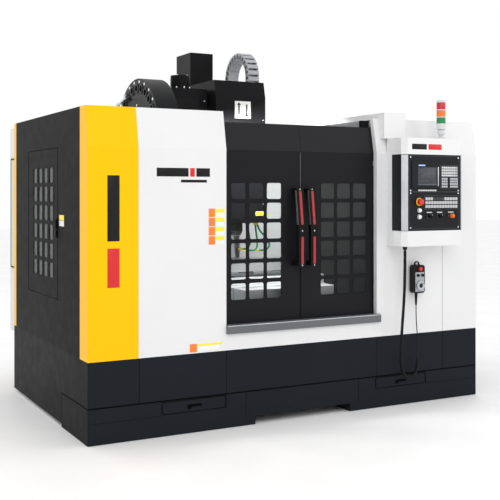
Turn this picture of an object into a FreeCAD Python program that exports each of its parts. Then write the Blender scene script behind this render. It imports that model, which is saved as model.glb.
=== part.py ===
import FreeCAD, Part
import Sketcher
import math
import os
import re

# Vertical machining center, millimetres. +X right, +Y back, +Z up.
# The spindle axis stands at X = 0, Y = 0 and the floor is Z = 0.

Vector = FreeCAD.Vector

SIZES = {
    # overall enclosure
    "half_width": 1400, "front": -980, "rear": 665, "sheet": 3,
    "skirt_top": 462, "bend": 1661, "cover_top": 1891, "lean": 44,
    "opening_left": -543, "opening_right": 556, "corner": -1100, "corner_return": 140,
    "post_width": 58, "inner_wall": 985, "wall_front": -860, "wall_rear": 533, "wall_low": 480,
    "roof_left": -760, "roof_right": 600, "coaming": 32,
    # coolant tank and chip drawers
    "tank_rear": -485, "tank_high": 203, "tank_wall": 4, "notch_half": 345, "notch_high": 50,
    "drawer_near": 543, "drawer_far": 960, "drawer_low": 121, "drawer_high": 199,
    "drawer_depth": 420, "drawer_gap": 3, "skirt_low": 20,
    # bed and column
    "bed_half": 450, "bed_front": -640, "bed_rear": 1000, "bed_low": 60, "bed_top": 500,
    "bed_heel": -480, "foot_radius": 60, "column_front": 560, "column_rear": 960,
    "column_half": 260, "column_base_half": 330, "column_low": 560, "column_top": 2212,
    # guides
    "rail_wide": 35, "rail_high": 35, "rail_gap": 0.5, "y_rail": 267, "x_rail": 167, "z_rail": 167,
    "rail_step": 40, "rail_front": -600,
    # saddle and table
    "saddle_half": 600, "saddle_deep": 275, "saddle_low": 600, "saddle_top": 815,
    "table_half": 500, "table_deep": 250, "table_low": 855, "table_top": 915,
    "slot_wide": 18, "slot_wide_low": 30, "slot_pitch": 80,
    # telescopic way cover
    "way_long": 285, "way_half": 350, "way_top": 802, "way_low": 600, "way_step": 3.6,
    # head and spindle
    "head_half": 150, "head_front": -105, "head_low": 1260, "head_top": 1760, "head_rear": 480,
    "hood_half": 197, "hood_front": -130, "hood_rear": 300, "hood_low": 1195, "hood_top": 2191,
    "hood_bend": 2080, "hood_lean": 25, "nose_low": 1100, "nose_radius": 60, "spindle_radius": 44,
    "spindle_gap": 0.5, "taper_radius": 22.225, "taper_long": 65.4,
    # drive on the column
    "motor_half": 95, "motor_front": 520, "motor_rear": 782, "motor_top": 2473, "screw_y": 590,
    # tool magazine
    "drum_face": -700, "drum_back": -545, "drum_y": 80, "drum_z": 1803, "drum_radius": 385,
    "pot_circle": 318, "pot_radius": 33, "pot_count": 24,
    "cam_left": -490, "cam_right": -215, "cam_front": -30, "cam_rear": 330, "cam_low": 1440,
    "cam_top": 2130, "arm_x": -350, "arm_y": 40, "arm_reach": 352, "arm_thick": 40,
    # doors
    "door_front": -940, "door_thick": 25, "door_low": 612, "door_top": 1830, "door_lean": 32,
    "door_skin": 3, "door_rim": 30, "door_gap": 2, "sill_low": 560, "sill_top": 610,
    "sill_front": -1000, "sill_right": 577, "window_wide": 101, "window_high": 98,
    "window_pitch_x": 123.5, "window_pitch_z": 122, "window_left": -491, "window_right": 148,
    "window_top": 1462, "window_round": 12, "window_columns": 3, "window_rows": 6,
    "handle_low": 950, "handle_top": 1430, "handle_front": -1030, "handle_half": 25,
    # access door in the left side
    "side_front": -405, "side_rear": 275, "side_low": 753, "side_top": 1676, "side_gap": 3,
    "side_window_front": -305, "side_window_wide": 84, "side_window_high": 95,
    "side_pitch_y": 122, "side_pitch_z": 118, "side_window_top": 1559, "side_columns": 4,
    # electrical cabinet
    "cabinet_left": -1312, "cabinet_right": -455, "cabinet_rear": 1136, "cabinet_low": 365,
    "cabinet_top": 1885, "cabinet_door": 22,
    # operator console
    "console_left": 636, "console_right": 1142, "console_front": -1161, "console_spine": -1034,
    "cap_low": 1055, "box_low": 1155, "box_top": 1650, "cap_top": 1757, "chamfer": 30,
    # signal tower
    "tower_x": 1008, "tower_y": -1080, "tower_radius": 30,
    # hand pendant
    "pendant_left": 813, "pendant_right": 900, "pendant_low": 738, "pendant_top": 923,
    "pendant_front": -1045, "pendant_back": -995, "cord_radius": 11, "tail_radius": 3.5,
    # guides for the energy chain
    "chain_left": 206, "chain_right": 296, "chain_front": 137, "chain_rear": 534,
    "chain_thick": 60, "chain_top": 2464, "chain_low": 2100,
}

doc = FreeCAD.newDocument("machining_center")
table_of_sizes = doc.addObject("Spreadsheet::Sheet", "dims")
for row, (word, value) in enumerate(SIZES.items(), 1):
    table_of_sizes.set("A%d" % row, word)
    table_of_sizes.set("B%d" % row, str(value))
    table_of_sizes.setAlias("B%d" % row, word)
doc.recompute()

WORD = re.compile(r"[a-z_][a-z0-9_]*")
TURNS = {
    "x": FreeCAD.Rotation(Vector(0, 1, 0), 90),
    "y": FreeCAD.Rotation(Vector(1, 0, 0), -90),
    "z": FreeCAD.Rotation(),
}
PARTS = {}


def expr(text):
    """The same formula with every size word pointing at the spreadsheet."""
    return WORD.sub(lambda w: "dims." + w.group() if w.group() in SIZES else w.group(), str(text))


def number(text):
    """The present value of a formula."""
    value = table_of_sizes.evalExpression(expr(text))
    return float(getattr(value, "Value", value))


def block(name, x_low, x_high, y_low, y_high, z_low, z_high):
    """A box between two corners, each given as formulas."""
    shape = doc.addObject("Part::Box", name)
    ends = (("x", "Length", x_low, x_high), ("y", "Width", y_low, y_high), ("z", "Height", z_low, z_high))
    for axis, size, low, high in ends:
        shape.setExpression("Placement.Base." + axis, expr(low))
        shape.setExpression(size, expr("(%s) - (%s)" % (high, low)))
    return shape


def rod(name, axis, x, y, z, radius, length):
    """A cylinder that starts at a point and runs along +X, +Y or +Z."""
    shape = doc.addObject("Part::Cylinder", name)
    shape.Placement = FreeCAD.Placement(Vector(), TURNS[axis])
    for side, place in (("x", x), ("y", y), ("z", z)):
        shape.setExpression("Placement.Base." + side, expr(place))
    shape.setExpression("Radius", expr(radius))
    shape.setExpression("Height", expr(length))
    return shape


def taper(name, axis, x, y, z, radius, end_radius, length):
    """A cone frustum that starts at a point and runs along +X, +Y or +Z."""
    shape = doc.addObject("Part::Cone", name)
    shape.Placement = FreeCAD.Placement(Vector(), TURNS[axis])
    for side, place in (("x", x), ("y", y), ("z", z)):
        shape.setExpression("Placement.Base." + side, expr(place))
    shape.setExpression("Radius1", expr(radius))
    shape.setExpression("Radius2", expr(end_radius))
    shape.setExpression("Height", expr(length))
    return shape


def join(name, shapes):
    """Several shapes as one."""
    result = doc.addObject("Part::MultiFuse", name)
    result.Shapes = shapes
    return result


def group(name, shapes):
    """Several shapes that stay separate solids of one node."""
    result = doc.addObject("Part::Compound", name)
    result.Links = shapes
    return result


def carve(name, base, tools):
    """A shape with other shapes taken out of it."""
    tool = tools[0]
    if len(tools) > 1:
        tool = join(name + "_tools", tools)
    result = doc.addObject("Part::Cut", name)
    result.Base = base
    result.Tool = tool
    return result


def outline(body, role, start, points):
    """A closed polygon on one of the body's own planes, every corner set by formulas."""
    sketch = body.newObject("Sketcher::SketchObject", body.Name + "_outline")
    plane = [feature for feature in body.Origin.OriginFeatures if feature.Role == role][0]
    sketch.AttachmentSupport = [(plane, "")]
    sketch.MapMode = "FlatFace"
    # the normal of the XZ plane looks toward -Y
    height = "-(%s)" % start if role == "XZ_Plane" else start
    sketch.setExpression("AttachmentOffset.Base.z", expr(height))
    corners = [(number(a), number(b)) for a, b in points]
    count = len(corners)
    for i in range(count):
        first = Vector(corners[i][0], corners[i][1], 0)
        second = Vector(corners[(i + 1) % count][0], corners[(i + 1) % count][1], 0)
        sketch.addGeometry(Part.LineSegment(first, second))
    for i in range(count):
        sketch.addConstraint(Sketcher.Constraint("Coincident", i, 2, (i + 1) % count, 1))
    for i in range(count):
        for side, kind in enumerate(("DistanceX", "DistanceY")):
            place = sketch.addConstraint(Sketcher.Constraint(kind, i, 1, corners[i][side]))
            sketch.setExpression("Constraints[%d]" % place, expr(points[i][side]))
    return sketch


def slab(name, role, start, length, points):
    """A body with one padded polygon; it grows toward +X, +Y or +Z from its start."""
    body = doc.addObject("PartDesign::Body", name)
    pad = body.newObject("PartDesign::Pad", name + "_pad")
    pad.Profile = outline(body, role, start, points)
    pad.Reversed = role == "XZ_Plane"
    pad.setExpression("Length", expr(length))
    body.Tip = pad
    return body


def hollow(body, role, start, length, points):
    """A pocket in a body that grows toward +X, +Y or +Z from its start."""
    before = body.Tip
    pocket = body.newObject("PartDesign::Pocket", body.Name + "_hollow")
    pocket.Profile = outline(body, role, start, points)
    pocket.Reversed = role != "XZ_Plane"
    pocket.setExpression("Length", expr(length))
    body.Tip = pocket
    doc.recompute()
    if before.Shape.Volume - pocket.Shape.Volume < 1:
        raise ValueError(body.Name + ": the pocket takes nothing away")
    return pocket


def window_grid(body, role, start, skin, corner, columns, rows, pitch, wide, high, radius):
    """A grid of equal windows with rounded corners, the first one at the top of the first column."""
    across, down = corner
    points = [
        (across, down), (across + " + " + wide, down),
        (across + " + " + wide, down + " + " + high), (across, down + " + " + high),
    ]
    first = hollow(body, role, start, skin, points)
    pattern = body.newObject("PartDesign::MultiTransform", body.Name + "_grid")
    pattern.Originals = [first]
    steps = []
    for axis, count, step in (("H_Axis", columns, pitch[0]), ("V_Axis", rows, pitch[1])):
        line = body.newObject("PartDesign::LinearPattern", body.Name + "_" + axis[0].lower())
        line.Direction = (first.Profile[0], [axis])
        line.Reversed = axis == "V_Axis"
        line.setExpression("Length", expr("%s * (%s - 1)" % (step, count)))
        line.setExpression("Occurrences", expr(count))
        steps.append(line)
    pattern.Transformations = steps
    body.Tip = pattern
    doc.recompute()
    thick = number(skin)
    edges = []
    for i, edge in enumerate(pattern.Shape.Edges):
        box = edge.BoundBox
        along = box.YLength if role == "XZ_Plane" else box.XLength
        if abs(edge.Length - thick) < 0.001 and abs(along - thick) < 0.001:
            edges.append("Edge%d" % (i + 1))
    corners = body.newObject("PartDesign::Fillet", body.Name + "_corners")
    corners.Base = (pattern, edges)
    corners.setExpression("Radius", expr(radius))
    body.Tip = corners


def bent_sheet(name, x_low, x_high):
    """A front cover sheet: upright to the bend, then leaning back to its top."""
    points = [
        ("front", "skirt_top"), ("front + sheet", "skirt_top"), ("front + sheet", "bend"),
        ("front + lean + sheet", "cover_top"), ("front + lean", "cover_top"), ("front", "bend"),
    ]
    return slab(name, "YZ_Plane", x_low, "(%s) - (%s)" % (x_high, x_low), points)


def bent_return(name, x_low, depth, rear_lean):
    """The folded side edge of a front cover, one sheet thick."""
    points = [
        ("front", "skirt_top"), ("front + " + depth, "skirt_top"), ("front + " + depth, "bend"),
        ("front + %s + %s" % (depth, rear_lean), "cover_top"), ("front + lean", "cover_top"),
        ("front", "bend"),
    ]
    return slab(name, "YZ_Plane", x_low, "sheet", points)


def node(label, shape):
    """Marks a finished piece for export under its own label."""
    shape.Label = label
    PARTS[label] = shape
    return shape


def smooth_path(points, name):
    """Straight runs with a tangent arc at every corner, as one wire."""
    spots = [Vector(*p) for p in points]
    edges = []
    here = spots[0]
    for before, corner, after in zip(spots, spots[1:], spots[2:]):
        incoming = (corner - before).normalize()
        outgoing = (after - corner).normalize()
        turn = incoming.getAngle(outgoing)
        short = min((corner - before).Length, (after - corner).Length)
        setback = 0.45 * short
        radius = setback / math.tan(turn / 2)
        print(name, "bend radius", round(radius, 1), "turn", round(math.degrees(turn), 1))
        start = corner - incoming * setback
        end = corner + outgoing * setback
        middle_line = (start + end) * 0.5 - corner
        inward = Vector(middle_line).normalize()
        middle = corner + inward * (radius / math.cos(turn / 2) - radius)
        edges.append(Part.LineSegment(here, start).toShape())
        edges.append(Part.Arc(start, middle, end).toShape())
        here = end
    edges.append(Part.LineSegment(here, spots[-1]).toShape())
    return Part.Wire(edges)


def tube(name, points, radius):
    """A solid round cord along a smooth path."""
    path = smooth_path(points, name)
    first = path.Edges[0]
    across = Part.Circle(first.Vertexes[0].Point, first.tangentAt(first.FirstParameter), radius).toShape()
    feature = doc.addObject("Part::Feature", name)
    feature.Shape = path.makePipeShell([Part.Wire([across])], True, False)
    expected = math.pi * radius * radius * path.Length
    print(name, "length", round(path.Length, 1), "volume ratio", round(feature.Shape.Volume / expected, 4))
    return feature


# ---------------------------------------------------------------- bed, column and guides
bed = slab("bed_block", "YZ_Plane", "-bed_half", "2 * bed_half", [
    ("bed_heel", "bed_low"), ("bed_rear", "bed_low"), ("bed_rear", "column_low"),
    ("column_front", "column_low"), ("column_front", "bed_top"), ("bed_front", "bed_top"),
    ("bed_front", "bed_top - 200"), ("bed_heel - 80", "tank_high + 12"), ("bed_heel", "tank_high + 12"),
])
hollow(bed, "YZ_Plane", "-bed_half + 45", "2 * bed_half - 90", [
    ("bed_heel + 50", "bed_low"), ("bed_rear - 50", "bed_low"), ("bed_rear - 50", "bed_top - 60"),
    ("bed_heel + 50", "bed_top - 60"),
])
bed_pieces = [bed]
for side, mark in (("-", "left"), ("", "right")):
    middle = side + "y_rail"
    bed_pieces.append(block("bed_way_" + mark, middle + " - 45", middle + " + 45", "bed_front",
                            "column_front - 20", "bed_top", "bed_top + rail_step"))
    far = "-bed_half - 120" if side else "bed_half"
    near = "-bed_half" if side else "bed_half + 120"
    for place, spot in (("front", "bed_heel + 20"), ("middle", "180"), ("back", "bed_rear - 160")):
        bed_pieces.append(block("bed_lug_%s_%s" % (mark, place), far, near, spot, spot + " + 140",
                                "bed_low", "bed_low + 55"))
bed_whole = join("bed_whole", bed_pieces)
bolt_holes = []
for side in ("-", ""):
    for mark, spot in (("front", "bed_heel + 115"), ("back", "bed_rear - 65")):
        place = side + "(bed_half + 92)"
        hole = "bolt_hole_%s_%s" % (mark, "left" if side else "right")
        bolt_holes.append(rod(hole, "z", place, spot, "bed_low - 5", "14", "70"))
node("bed_casting", carve("bed_casting", bed_whole, bolt_holes))

feet = []
for side, mark in (("-", "left"), ("", "right")):
    for place, spot in (("front", "bed_heel + 60"), ("middle", "250"), ("back", "bed_rear - 120")):
        label = "foot_%s_%s" % (mark, place)
        x_place = side + "(bed_half + 40)"
        disc = rod(label + "_disc", "z", x_place, spot, "0", "foot_radius", "20")
        neck = taper(label + "_neck", "z", x_place, spot, "20", "foot_radius - 12", "24", "12")
        stem = rod(label + "_stem", "z", x_place, spot, "32", "16", "bed_low - 32")
        feet.append(join(label, [disc, neck, stem]))
node("levelling_feet", group("levelling_feet", feet))

column = slab("column_block", "XZ_Plane", "column_front", "column_rear - column_front", [
    ("-column_base_half", "column_low"), ("column_base_half", "column_low"),
    ("column_base_half", "column_low + 220"), ("column_half", "column_low + 700"),
    ("column_half", "column_top"), ("-column_half", "column_top"),
    ("-column_half", "column_low + 700"), ("-column_base_half", "column_low + 220"),
])
channel = block("column_channel", "-75", "75", "column_front - 1", "column_front + 100",
                "column_low + 140", "column_top + 1")
core = block("column_core", "-column_half + 50", "column_half - 50", "column_front + 140",
             "column_rear - 40", "column_low + 60", "column_top - 60")
column_windows = []
for i in range(3):
    low = "column_low + %d" % (180 + 480 * i)
    column_windows.append(block("column_window_%d" % (i + 1), "-110", "110", "column_rear - 60",
                                "column_rear + 1", low, low + " + 260"))
node("column_casting", carve("column_casting", column, [channel, core] + column_windows))

rails = []
for side, mark in (("-", "left"), ("", "right")):
    middle = side + "y_rail"
    rails.append(block("y_rail_" + mark, middle + " - rail_wide / 2", middle + " + rail_wide / 2",
                       "rail_front", "column_front - 25", "bed_top + rail_step",
                       "bed_top + rail_step + rail_high"))
    middle = side + "z_rail"
    rails.append(block("z_rail_" + mark, middle + " - rail_wide / 2", middle + " + rail_wide / 2",
                       "column_front - rail_high", "column_front", "column_low + 490",
                       "column_top - 12"))
rails.append(rod("z_screw", "z", "0", "screw_y", "column_low + 140", "20", "column_top - column_low - 140"))
node("guide_rails", group("guide_rails", rails))

motor_plate = block("motor_plate", "-130", "130", "motor_front", "motor_rear + 10", "column_top",
                    "column_top + 18")
motor_box = block("motor_box", "-motor_half", "motor_half", "motor_front", "motor_rear",
                  "column_top + 18", "motor_top")
motor_room = block("motor_room", "-motor_half + sheet", "motor_half - sheet", "motor_front + sheet",
                   "motor_rear - sheet", "column_top + 18", "motor_top - sheet")
node("z_motor_cover", join("z_motor_cover", [motor_plate, carve("motor_hood", motor_box, [motor_room])]))

# ---------------------------------------------------------------- saddle and table
saddle_box = block("saddle_box", "-saddle_half", "saddle_half", "-saddle_deep", "saddle_deep",
                   "saddle_low", "saddle_top")
saddle_room = block("saddle_room", "-y_rail + 60", "y_rail - 60", "-saddle_deep + 45",
                    "saddle_deep - 45", "saddle_low - 1", "saddle_top - 60")
wing_rooms = []
for side, mark in (("-", "left"), ("", "right")):
    near = "-saddle_half + 35" if side else "y_rail + 70"
    far = "-y_rail - 70" if side else "saddle_half - 35"
    wing_rooms.append(block("saddle_wing_" + mark, near, far, "-saddle_deep + 45", "saddle_deep - 45",
                            "saddle_low - 1", "saddle_top - 60"))
saddle_pieces = [carve("saddle_body", saddle_box, [saddle_room] + wing_rooms)]
rail_grip = "rail_wide / 2 + rail_gap"
for side, mark in (("-", "left"), ("", "right")):
    middle = side + "y_rail"
    for place, spot in (("front", "-saddle_deep + 20"), ("back", "saddle_deep - 140")):
        name = "y_carriage_%s_%s" % (mark, place)
        solid = block(name + "_block", middle + " - 36", middle + " + 36", spot, spot + " + 120",
                      "bed_top + rail_step + 12", "saddle_low")
        slot = block(name + "_slot", middle + " - " + rail_grip.replace(" + ", " - "),
                     middle + " + " + rail_grip, spot + " - 1", spot + " + 121",
                     "bed_top + rail_step", "bed_top + rail_step + rail_high + rail_gap")
        saddle_pieces.append(carve(name, solid, [slot]))
    middle = side + "x_rail"
    saddle_pieces.append(block("x_rail_" + mark, "-saddle_half", "saddle_half",
                               middle + " - rail_wide / 2", middle + " + rail_wide / 2",
                               "saddle_top", "saddle_top + rail_high - 7"))
node("saddle", join("saddle", saddle_pieces))

table_box = block("table_box", "-table_half", "table_half", "-table_deep", "table_deep", "table_low",
                  "table_top")
slots = []
for i in range(5):
    middle = "slot_pitch * %d" % (i - 2)
    slots.append(block("slot_upper_%d" % (i + 1), "-table_half - 1", "table_half + 1",
                       middle + " - slot_wide / 2", middle + " + slot_wide / 2", "table_top - 18",
                       "table_top + 1"))
    slots.append(block("slot_lower_%d" % (i + 1), "-table_half - 1", "table_half + 1",
                       middle + " - slot_wide_low / 2", middle + " + slot_wide_low / 2",
                       "table_top - 31", "table_top - 18"))
table_pieces = [carve("table_plate", table_box, slots)]
for side, mark in (("-", "front"), ("", "back")):
    middle = side + "x_rail"
    for place, spot in (("left", "-180"), ("right", "60")):
        name = "x_carriage_%s_%s" % (mark, place)
        solid = block(name + "_block", spot, spot + " + 120", middle + " - 34", middle + " + 34",
                      "saddle_top + 8", "table_low")
        slot = block(name + "_slot", spot + " - 1", spot + " + 121",
                     middle + " - " + rail_grip.replace(" + ", " - "), middle + " + " + rail_grip,
                     "saddle_top", "saddle_top + rail_high - 7 + rail_gap")
        table_pieces.append(carve(name, solid, [slot]))
node("table", join("table", table_pieces))

# ---------------------------------------------------------------- telescopic way cover
FIXED_START = "column_front - 1390"


def way_section(name, step, start, legs):
    """One open-ended hood of the telescopic cover with a lip across its front top edge."""
    half = "way_half - way_step * %d" % step
    top = "way_top - way_step * %d" % step
    outer = block(name + "_outer", "-(%s)" % half, half, start, "(%s) + way_long" % start, legs, top)
    inner = block(name + "_inner", "-(%s) + sheet" % half, "(%s) - sheet" % half,
                  "(%s) - 1" % start, "(%s) + way_long + 1" % start, "(%s) - 1" % legs,
                  "(%s) - sheet" % top)
    return carve(name, outer, [inner])


node("way_cover_front", way_section("way_cover_front", 0, "-saddle_deep - way_long", "way_low"))
node("way_cover_middle", way_section("way_cover_middle", 1, "-saddle_deep - way_long - 127",
                                     "way_low"))
fixed_hood = way_section("way_fixed_hood", 2, FIXED_START, "bed_top")
fixed_end = block("way_fixed_end", "-(way_half - way_step * 2) + sheet / 2",
                  "way_half - way_step * 2 - sheet / 2", FIXED_START, FIXED_START + " + sheet",
                  "bed_top", "way_top - way_step * 2 - sheet / 2")
node("way_cover_fixed", join("way_cover_fixed", [fixed_hood, fixed_end]))

# ---------------------------------------------------------------- head and spindle
head_pieces = [block("head_block", "-head_half", "head_half", "head_front", "head_rear", "head_low",
                     "head_top")]
head_pieces.append(block("head_back_plate", "-205", "205", "head_rear - 20",
                         "column_front - rail_high - 6", "head_low + 40", "head_top"))
for side, mark in (("-", "left"), ("", "right")):
    middle = side + "z_rail"
    for place, spot in (("low", "head_low + 50"), ("high", "head_top - 130")):
        name = "z_carriage_%s_%s" % (mark, place)
        solid = block(name + "_block", middle + " - 36", middle + " + 36",
                      "column_front - rail_high - 8", "column_front - 12", spot, spot + " + 120")
        slot = block(name + "_slot", middle + " - " + rail_grip.replace(" + ", " - "),
                     middle + " + " + rail_grip, "column_front - rail_high - rail_gap",
                     "column_front", spot + " - 1", spot + " + 121")
        head_pieces.append(carve(name, solid, [slot]))
    for place, spot in (("front", "head_front + 60"), ("rear", "hood_rear - 60")):
        edge = "-hood_half + sheet" if side else "head_half"
        for level in ("low", "high"):
            height = "head_low + 90" if level == "low" else "head_top - 90"
            head_pieces.append(rod("hood_boss_%s_%s_%s" % (mark, place, level), "x", edge, spot, height,
                                   "14", "hood_half - sheet - head_half"))
head_pieces.append(block("nut_arm", "-30", "30", "column_front - 50", "screw_y", "head_low + 200",
                         "head_low + 290"))
head_pieces.append(rod("nut_round", "z", "0", "screw_y", "head_low + 180", "38", "130"))
head_pieces.append(rod("cartridge_flange", "z", "0", "0", "head_low - 35", "95", "36"))
head_pieces.append(rod("cartridge", "z", "0", "0", "nose_low + 28", "72", "head_low - nose_low - 60"))
head_pieces.append(taper("cartridge_nose", "z", "0", "0", "nose_low", "nose_radius", "72", "28"))
head_pieces.append(block("head_motor", "-110", "110", "-100", "120", "head_top", "head_top + 260"))
head_pieces.append(rod("head_motor_top", "z", "0", "10", "head_top + 260", "98", "90"))
head_whole = join("head_whole", head_pieces)
head_holes = [
    rod("screw_hole", "z", "0", "screw_y", "head_low", "20 + spindle_gap", "400"),
    rod("spindle_room_low", "z", "0", "0", "nose_low - 1", "spindle_radius + spindle_gap", "51"),
    rod("spindle_room_high", "z", "0", "0", "nose_low + 49", "32 + spindle_gap", "107"),
]
node("head_casting", carve("head_casting", head_whole, head_holes))

hood_points = [
    ("hood_front", "hood_low"), ("hood_rear", "hood_low"), ("hood_rear", "hood_top"),
    ("hood_front + hood_lean", "hood_top"), ("hood_front", "hood_bend"),
]
hood_inner_points = [
    ("hood_front + sheet", "hood_low - 5"), ("hood_rear + 5", "hood_low - 5"),
    ("hood_rear + 5", "hood_top - sheet"), ("hood_front + hood_lean + sheet", "hood_top - sheet"),
    ("hood_front + sheet", "hood_bend"),
]
hood = slab("hood_block", "YZ_Plane", "-hood_half", "2 * hood_half", hood_points)
hollow(hood, "YZ_Plane", "-hood_half + sheet", "2 * hood_half - 2 * sheet", hood_inner_points)
hood_ear = block("hood_ear", "hood_half", "chain_left", "chain_front", "hood_rear",
                 "chain_low - 15", "chain_low + 70")
node("head_cover", join("head_cover", [hood, hood_ear]))

spindle_nose = rod("spindle_nose", "z", "0", "0", "nose_low - 2", "spindle_radius", "50")
spindle_shaft = rod("spindle_shaft", "z", "0", "0", "nose_low + 45", "32", "105")
keys = []
for side, mark in (("-", "left"), ("", "right")):
    low = "-42" if side else "27"
    high = "-27" if side else "42"
    keys.append(block("drive_key_" + mark, low, high, "-7.5", "7.5", "nose_low - 10", "nose_low"))
spindle_whole = join("spindle_whole", [spindle_nose, spindle_shaft] + keys)
socket = taper("spindle_socket", "z", "0", "0", "nose_low - 2", "taper_radius",
               "taper_radius - taper_long * 3.5 / 24", "taper_long")
drawbar_hole = rod("drawbar_hole", "z", "0", "0", "nose_low + 60", "8.5", "80")
node("spindle", carve("spindle", spindle_whole, [socket, drawbar_hole]))

nozzle_pieces = [rod("nozzle_ring", "z", "0", "0", "head_low - 62", "104", "24")]
nozzle_pieces[0] = carve("nozzle_manifold", nozzle_pieces[0],
                         [rod("nozzle_ring_hole", "z", "0", "0", "head_low - 63", "72", "26")])
nozzle_pieces.append(block("hose_manifold", "82", "190", "-80", "0", "head_low - 62", "head_low - 38"))
HOSE_TOP = number("head_low") - 55
HOSE_END = number("nose_low")
HOSES = (
    ((150, -60, HOSE_TOP), (160, -60, HOSE_END + 20), (172, -60, HOSE_END - 60),
     (160, -60, HOSE_END - 112), (95, -60, HOSE_END - 112)),
    ((176, -32, HOSE_TOP), (200, -32, HOSE_END + 30), (262, -32, HOSE_END - 25),
     (292, -32, HOSE_END - 80), (262, -32, HOSE_END - 114), (195, -32, HOSE_END - 114)),
    ((118, -20, HOSE_TOP), (122, -8, HOSE_END + 40), (150, 20, HOSE_END - 20),
     (158, 30, HOSE_END - 80), (130, 30, HOSE_END - 106), (95, 30, HOSE_END - 106)),
)
for i, hose in enumerate(HOSES):
    name = "hose_%d" % (i + 1)
    nozzle_pieces.append(tube(name, hose, 7))
    nozzle_pieces.append(rod(name + "_fitting", "z", str(hose[0][0]), str(hose[0][1]),
                             "head_low - 88", "11", "28"))
    nozzle_pieces.append(taper(name + "_tip", "x", "%g" % (hose[-1][0] - 37), "%g" % hose[-1][1],
                               "%g" % hose[-1][2], "4", "8.5", "39"))
node("coolant_nozzles", join("coolant_nozzles", nozzle_pieces))

# ---------------------------------------------------------------- energy chain beside the head
chain_middle = "(chain_front + chain_rear) / 2"
chain_radius = "(chain_rear - chain_front) / 2"
chain_round = rod("chain_round", "x", "chain_left", chain_middle, "chain_top - " + chain_radius,
                  chain_radius, "chain_right - chain_left")
chain_core = rod("chain_core", "x", "chain_left - 1", chain_middle, "chain_top - " + chain_radius,
                 chain_radius + " - chain_thick", "chain_right - chain_left + 2")
chain_legs = block("chain_legs", "chain_left", "chain_right", "chain_front", "chain_rear", "chain_low",
                   "chain_top - " + chain_radius)
chain_gap = block("chain_gap", "chain_left - 1", "chain_right + 1", "chain_front + chain_thick",
                  "chain_rear - chain_thick", "chain_low - 60", "chain_top - " + chain_radius)
chain_whole = join("chain_whole", [chain_round, chain_legs])
node("drag_chain", carve("drag_chain", chain_whole, [chain_core, chain_gap]))

# ---------------------------------------------------------------- tool changer
cam_box = block("cam_box", "cam_left", "cam_right", "cam_front", "cam_rear", "cam_low", "cam_top")
bracket = slab("changer_bracket", "XY_Plane", "cam_low + 60", "cam_top - cam_low - 140", [
    ("cam_left", "cam_rear"), ("cam_right", "cam_rear"), ("cam_right", "column_front"),
    ("-column_half", "column_front"), ("-column_half", "column_front + 95"),
    ("cam_left", "column_front + 95"),
])
cam_motor = rod("cam_motor", "z", "arm_x - 41", "cam_front + 75", "cam_top", "67", "92")
drum_plate = block("drum_plate", "cam_left - 12", "cam_left", "drum_y - 180", "drum_y + 200",
                   "drum_z - 200", "drum_z + 200")
drum_axle = rod("drum_axle", "x", "drum_back - 60", "drum_y", "drum_z", "30",
                "cam_left - drum_back + 60")
chain_anchor = block("chain_anchor", "chain_left + 4", "chain_right", "chain_rear", "column_front",
                     "chain_low - 20", "chain_low + 80")
node("changer_frame", group("changer_frame", [
    join("changer_arm_drive", [cam_box, bracket, cam_motor, drum_plate, drum_axle]), chain_anchor]))

drum_disc = rod("drum_disc", "x", "drum_back - 20", "drum_y", "drum_z", "drum_radius", "20")
drum_rim = rod("drum_rim", "x", "drum_face", "drum_y", "drum_z", "drum_radius",
               "drum_back - drum_face - 20")
drum_rim_room = rod("drum_rim_room", "x", "drum_face + 4", "drum_y", "drum_z", "drum_radius - 6",
                    "drum_back - drum_face - 24")
drum_axle_hole = rod("drum_axle_hole", "x", "drum_back - 62", "drum_y", "drum_z", "30 + spindle_gap",
                     "70")
drum_hub = rod("drum_hub", "x", "drum_face + 4", "drum_y", "drum_z", "70", "drum_back - drum_face - 4")
drum_shell = carve("drum_shell", drum_rim, [drum_rim_room])
pots = []
pot_rooms = []
for i in range(int(SIZES["pot_count"])):
    angle = "(360 * %d / pot_count)" % i
    y_pot = "drum_y + pot_circle * sin(%s deg)".replace("%s deg", angle + " * 1deg")
    z_pot = "drum_z + pot_circle * cos(%s deg)".replace("%s deg", angle + " * 1deg")
    pots.append(rod("pot_%d" % (i + 1), "x", "drum_face - 6", y_pot, z_pot, "pot_radius",
                    "drum_back - drum_face - 10"))
    pot_rooms.append(rod("pot_room_%d" % (i + 1), "x", "drum_face - 7", y_pot, z_pot,
                         "pot_radius - 12", "75"))
drum_whole = join("drum_whole", [drum_disc, drum_shell, drum_hub] + pots)
node("magazine_drum", carve("magazine_drum", drum_whole, pot_rooms + [drum_axle_hole]))

arm_shaft = rod("arm_shaft", "z", "arm_x", "arm_y", "cam_low - 62", "38", "61.5")
arm_top = "cam_low - 22"
arm_beam = block("arm_beam", "arm_x - 34", "arm_x + 34", "arm_y - arm_reach", "arm_y + arm_reach",
                 arm_top + " - arm_thick", arm_top)
arm_hub = rod("arm_hub", "z", "arm_x", "arm_y", arm_top + " - arm_thick - 8", "56", "arm_thick + 12")
grips = []
for side, mark in (("-", "front"), ("+", "back")):
    grips.append(rod("grip_" + mark, "z", "arm_x", "arm_y %s arm_reach" % side,
                     arm_top + " - arm_thick", "50", "arm_thick"))
grip_rooms = []
for side, mark in (("-", "front"), ("+", "back")):
    grip_rooms.append(rod("grip_room_" + mark, "z", "arm_x", "arm_y %s arm_reach" % side,
                          arm_top + " - arm_thick - 1", "32", "arm_thick + 2"))
    near = "arm_y - arm_reach - 60" if side == "-" else "arm_y + arm_reach"
    grip_rooms.append(block("grip_mouth_" + mark, "arm_x - 24", "arm_x + 24", near, near + " + 60",
                            arm_top + " - arm_thick - 1", arm_top + " + 1"))
arm_whole = join("arm_whole", [arm_shaft, arm_beam, arm_hub] + grips)
node("change_arm", carve("change_arm", arm_whole, grip_rooms))

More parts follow.
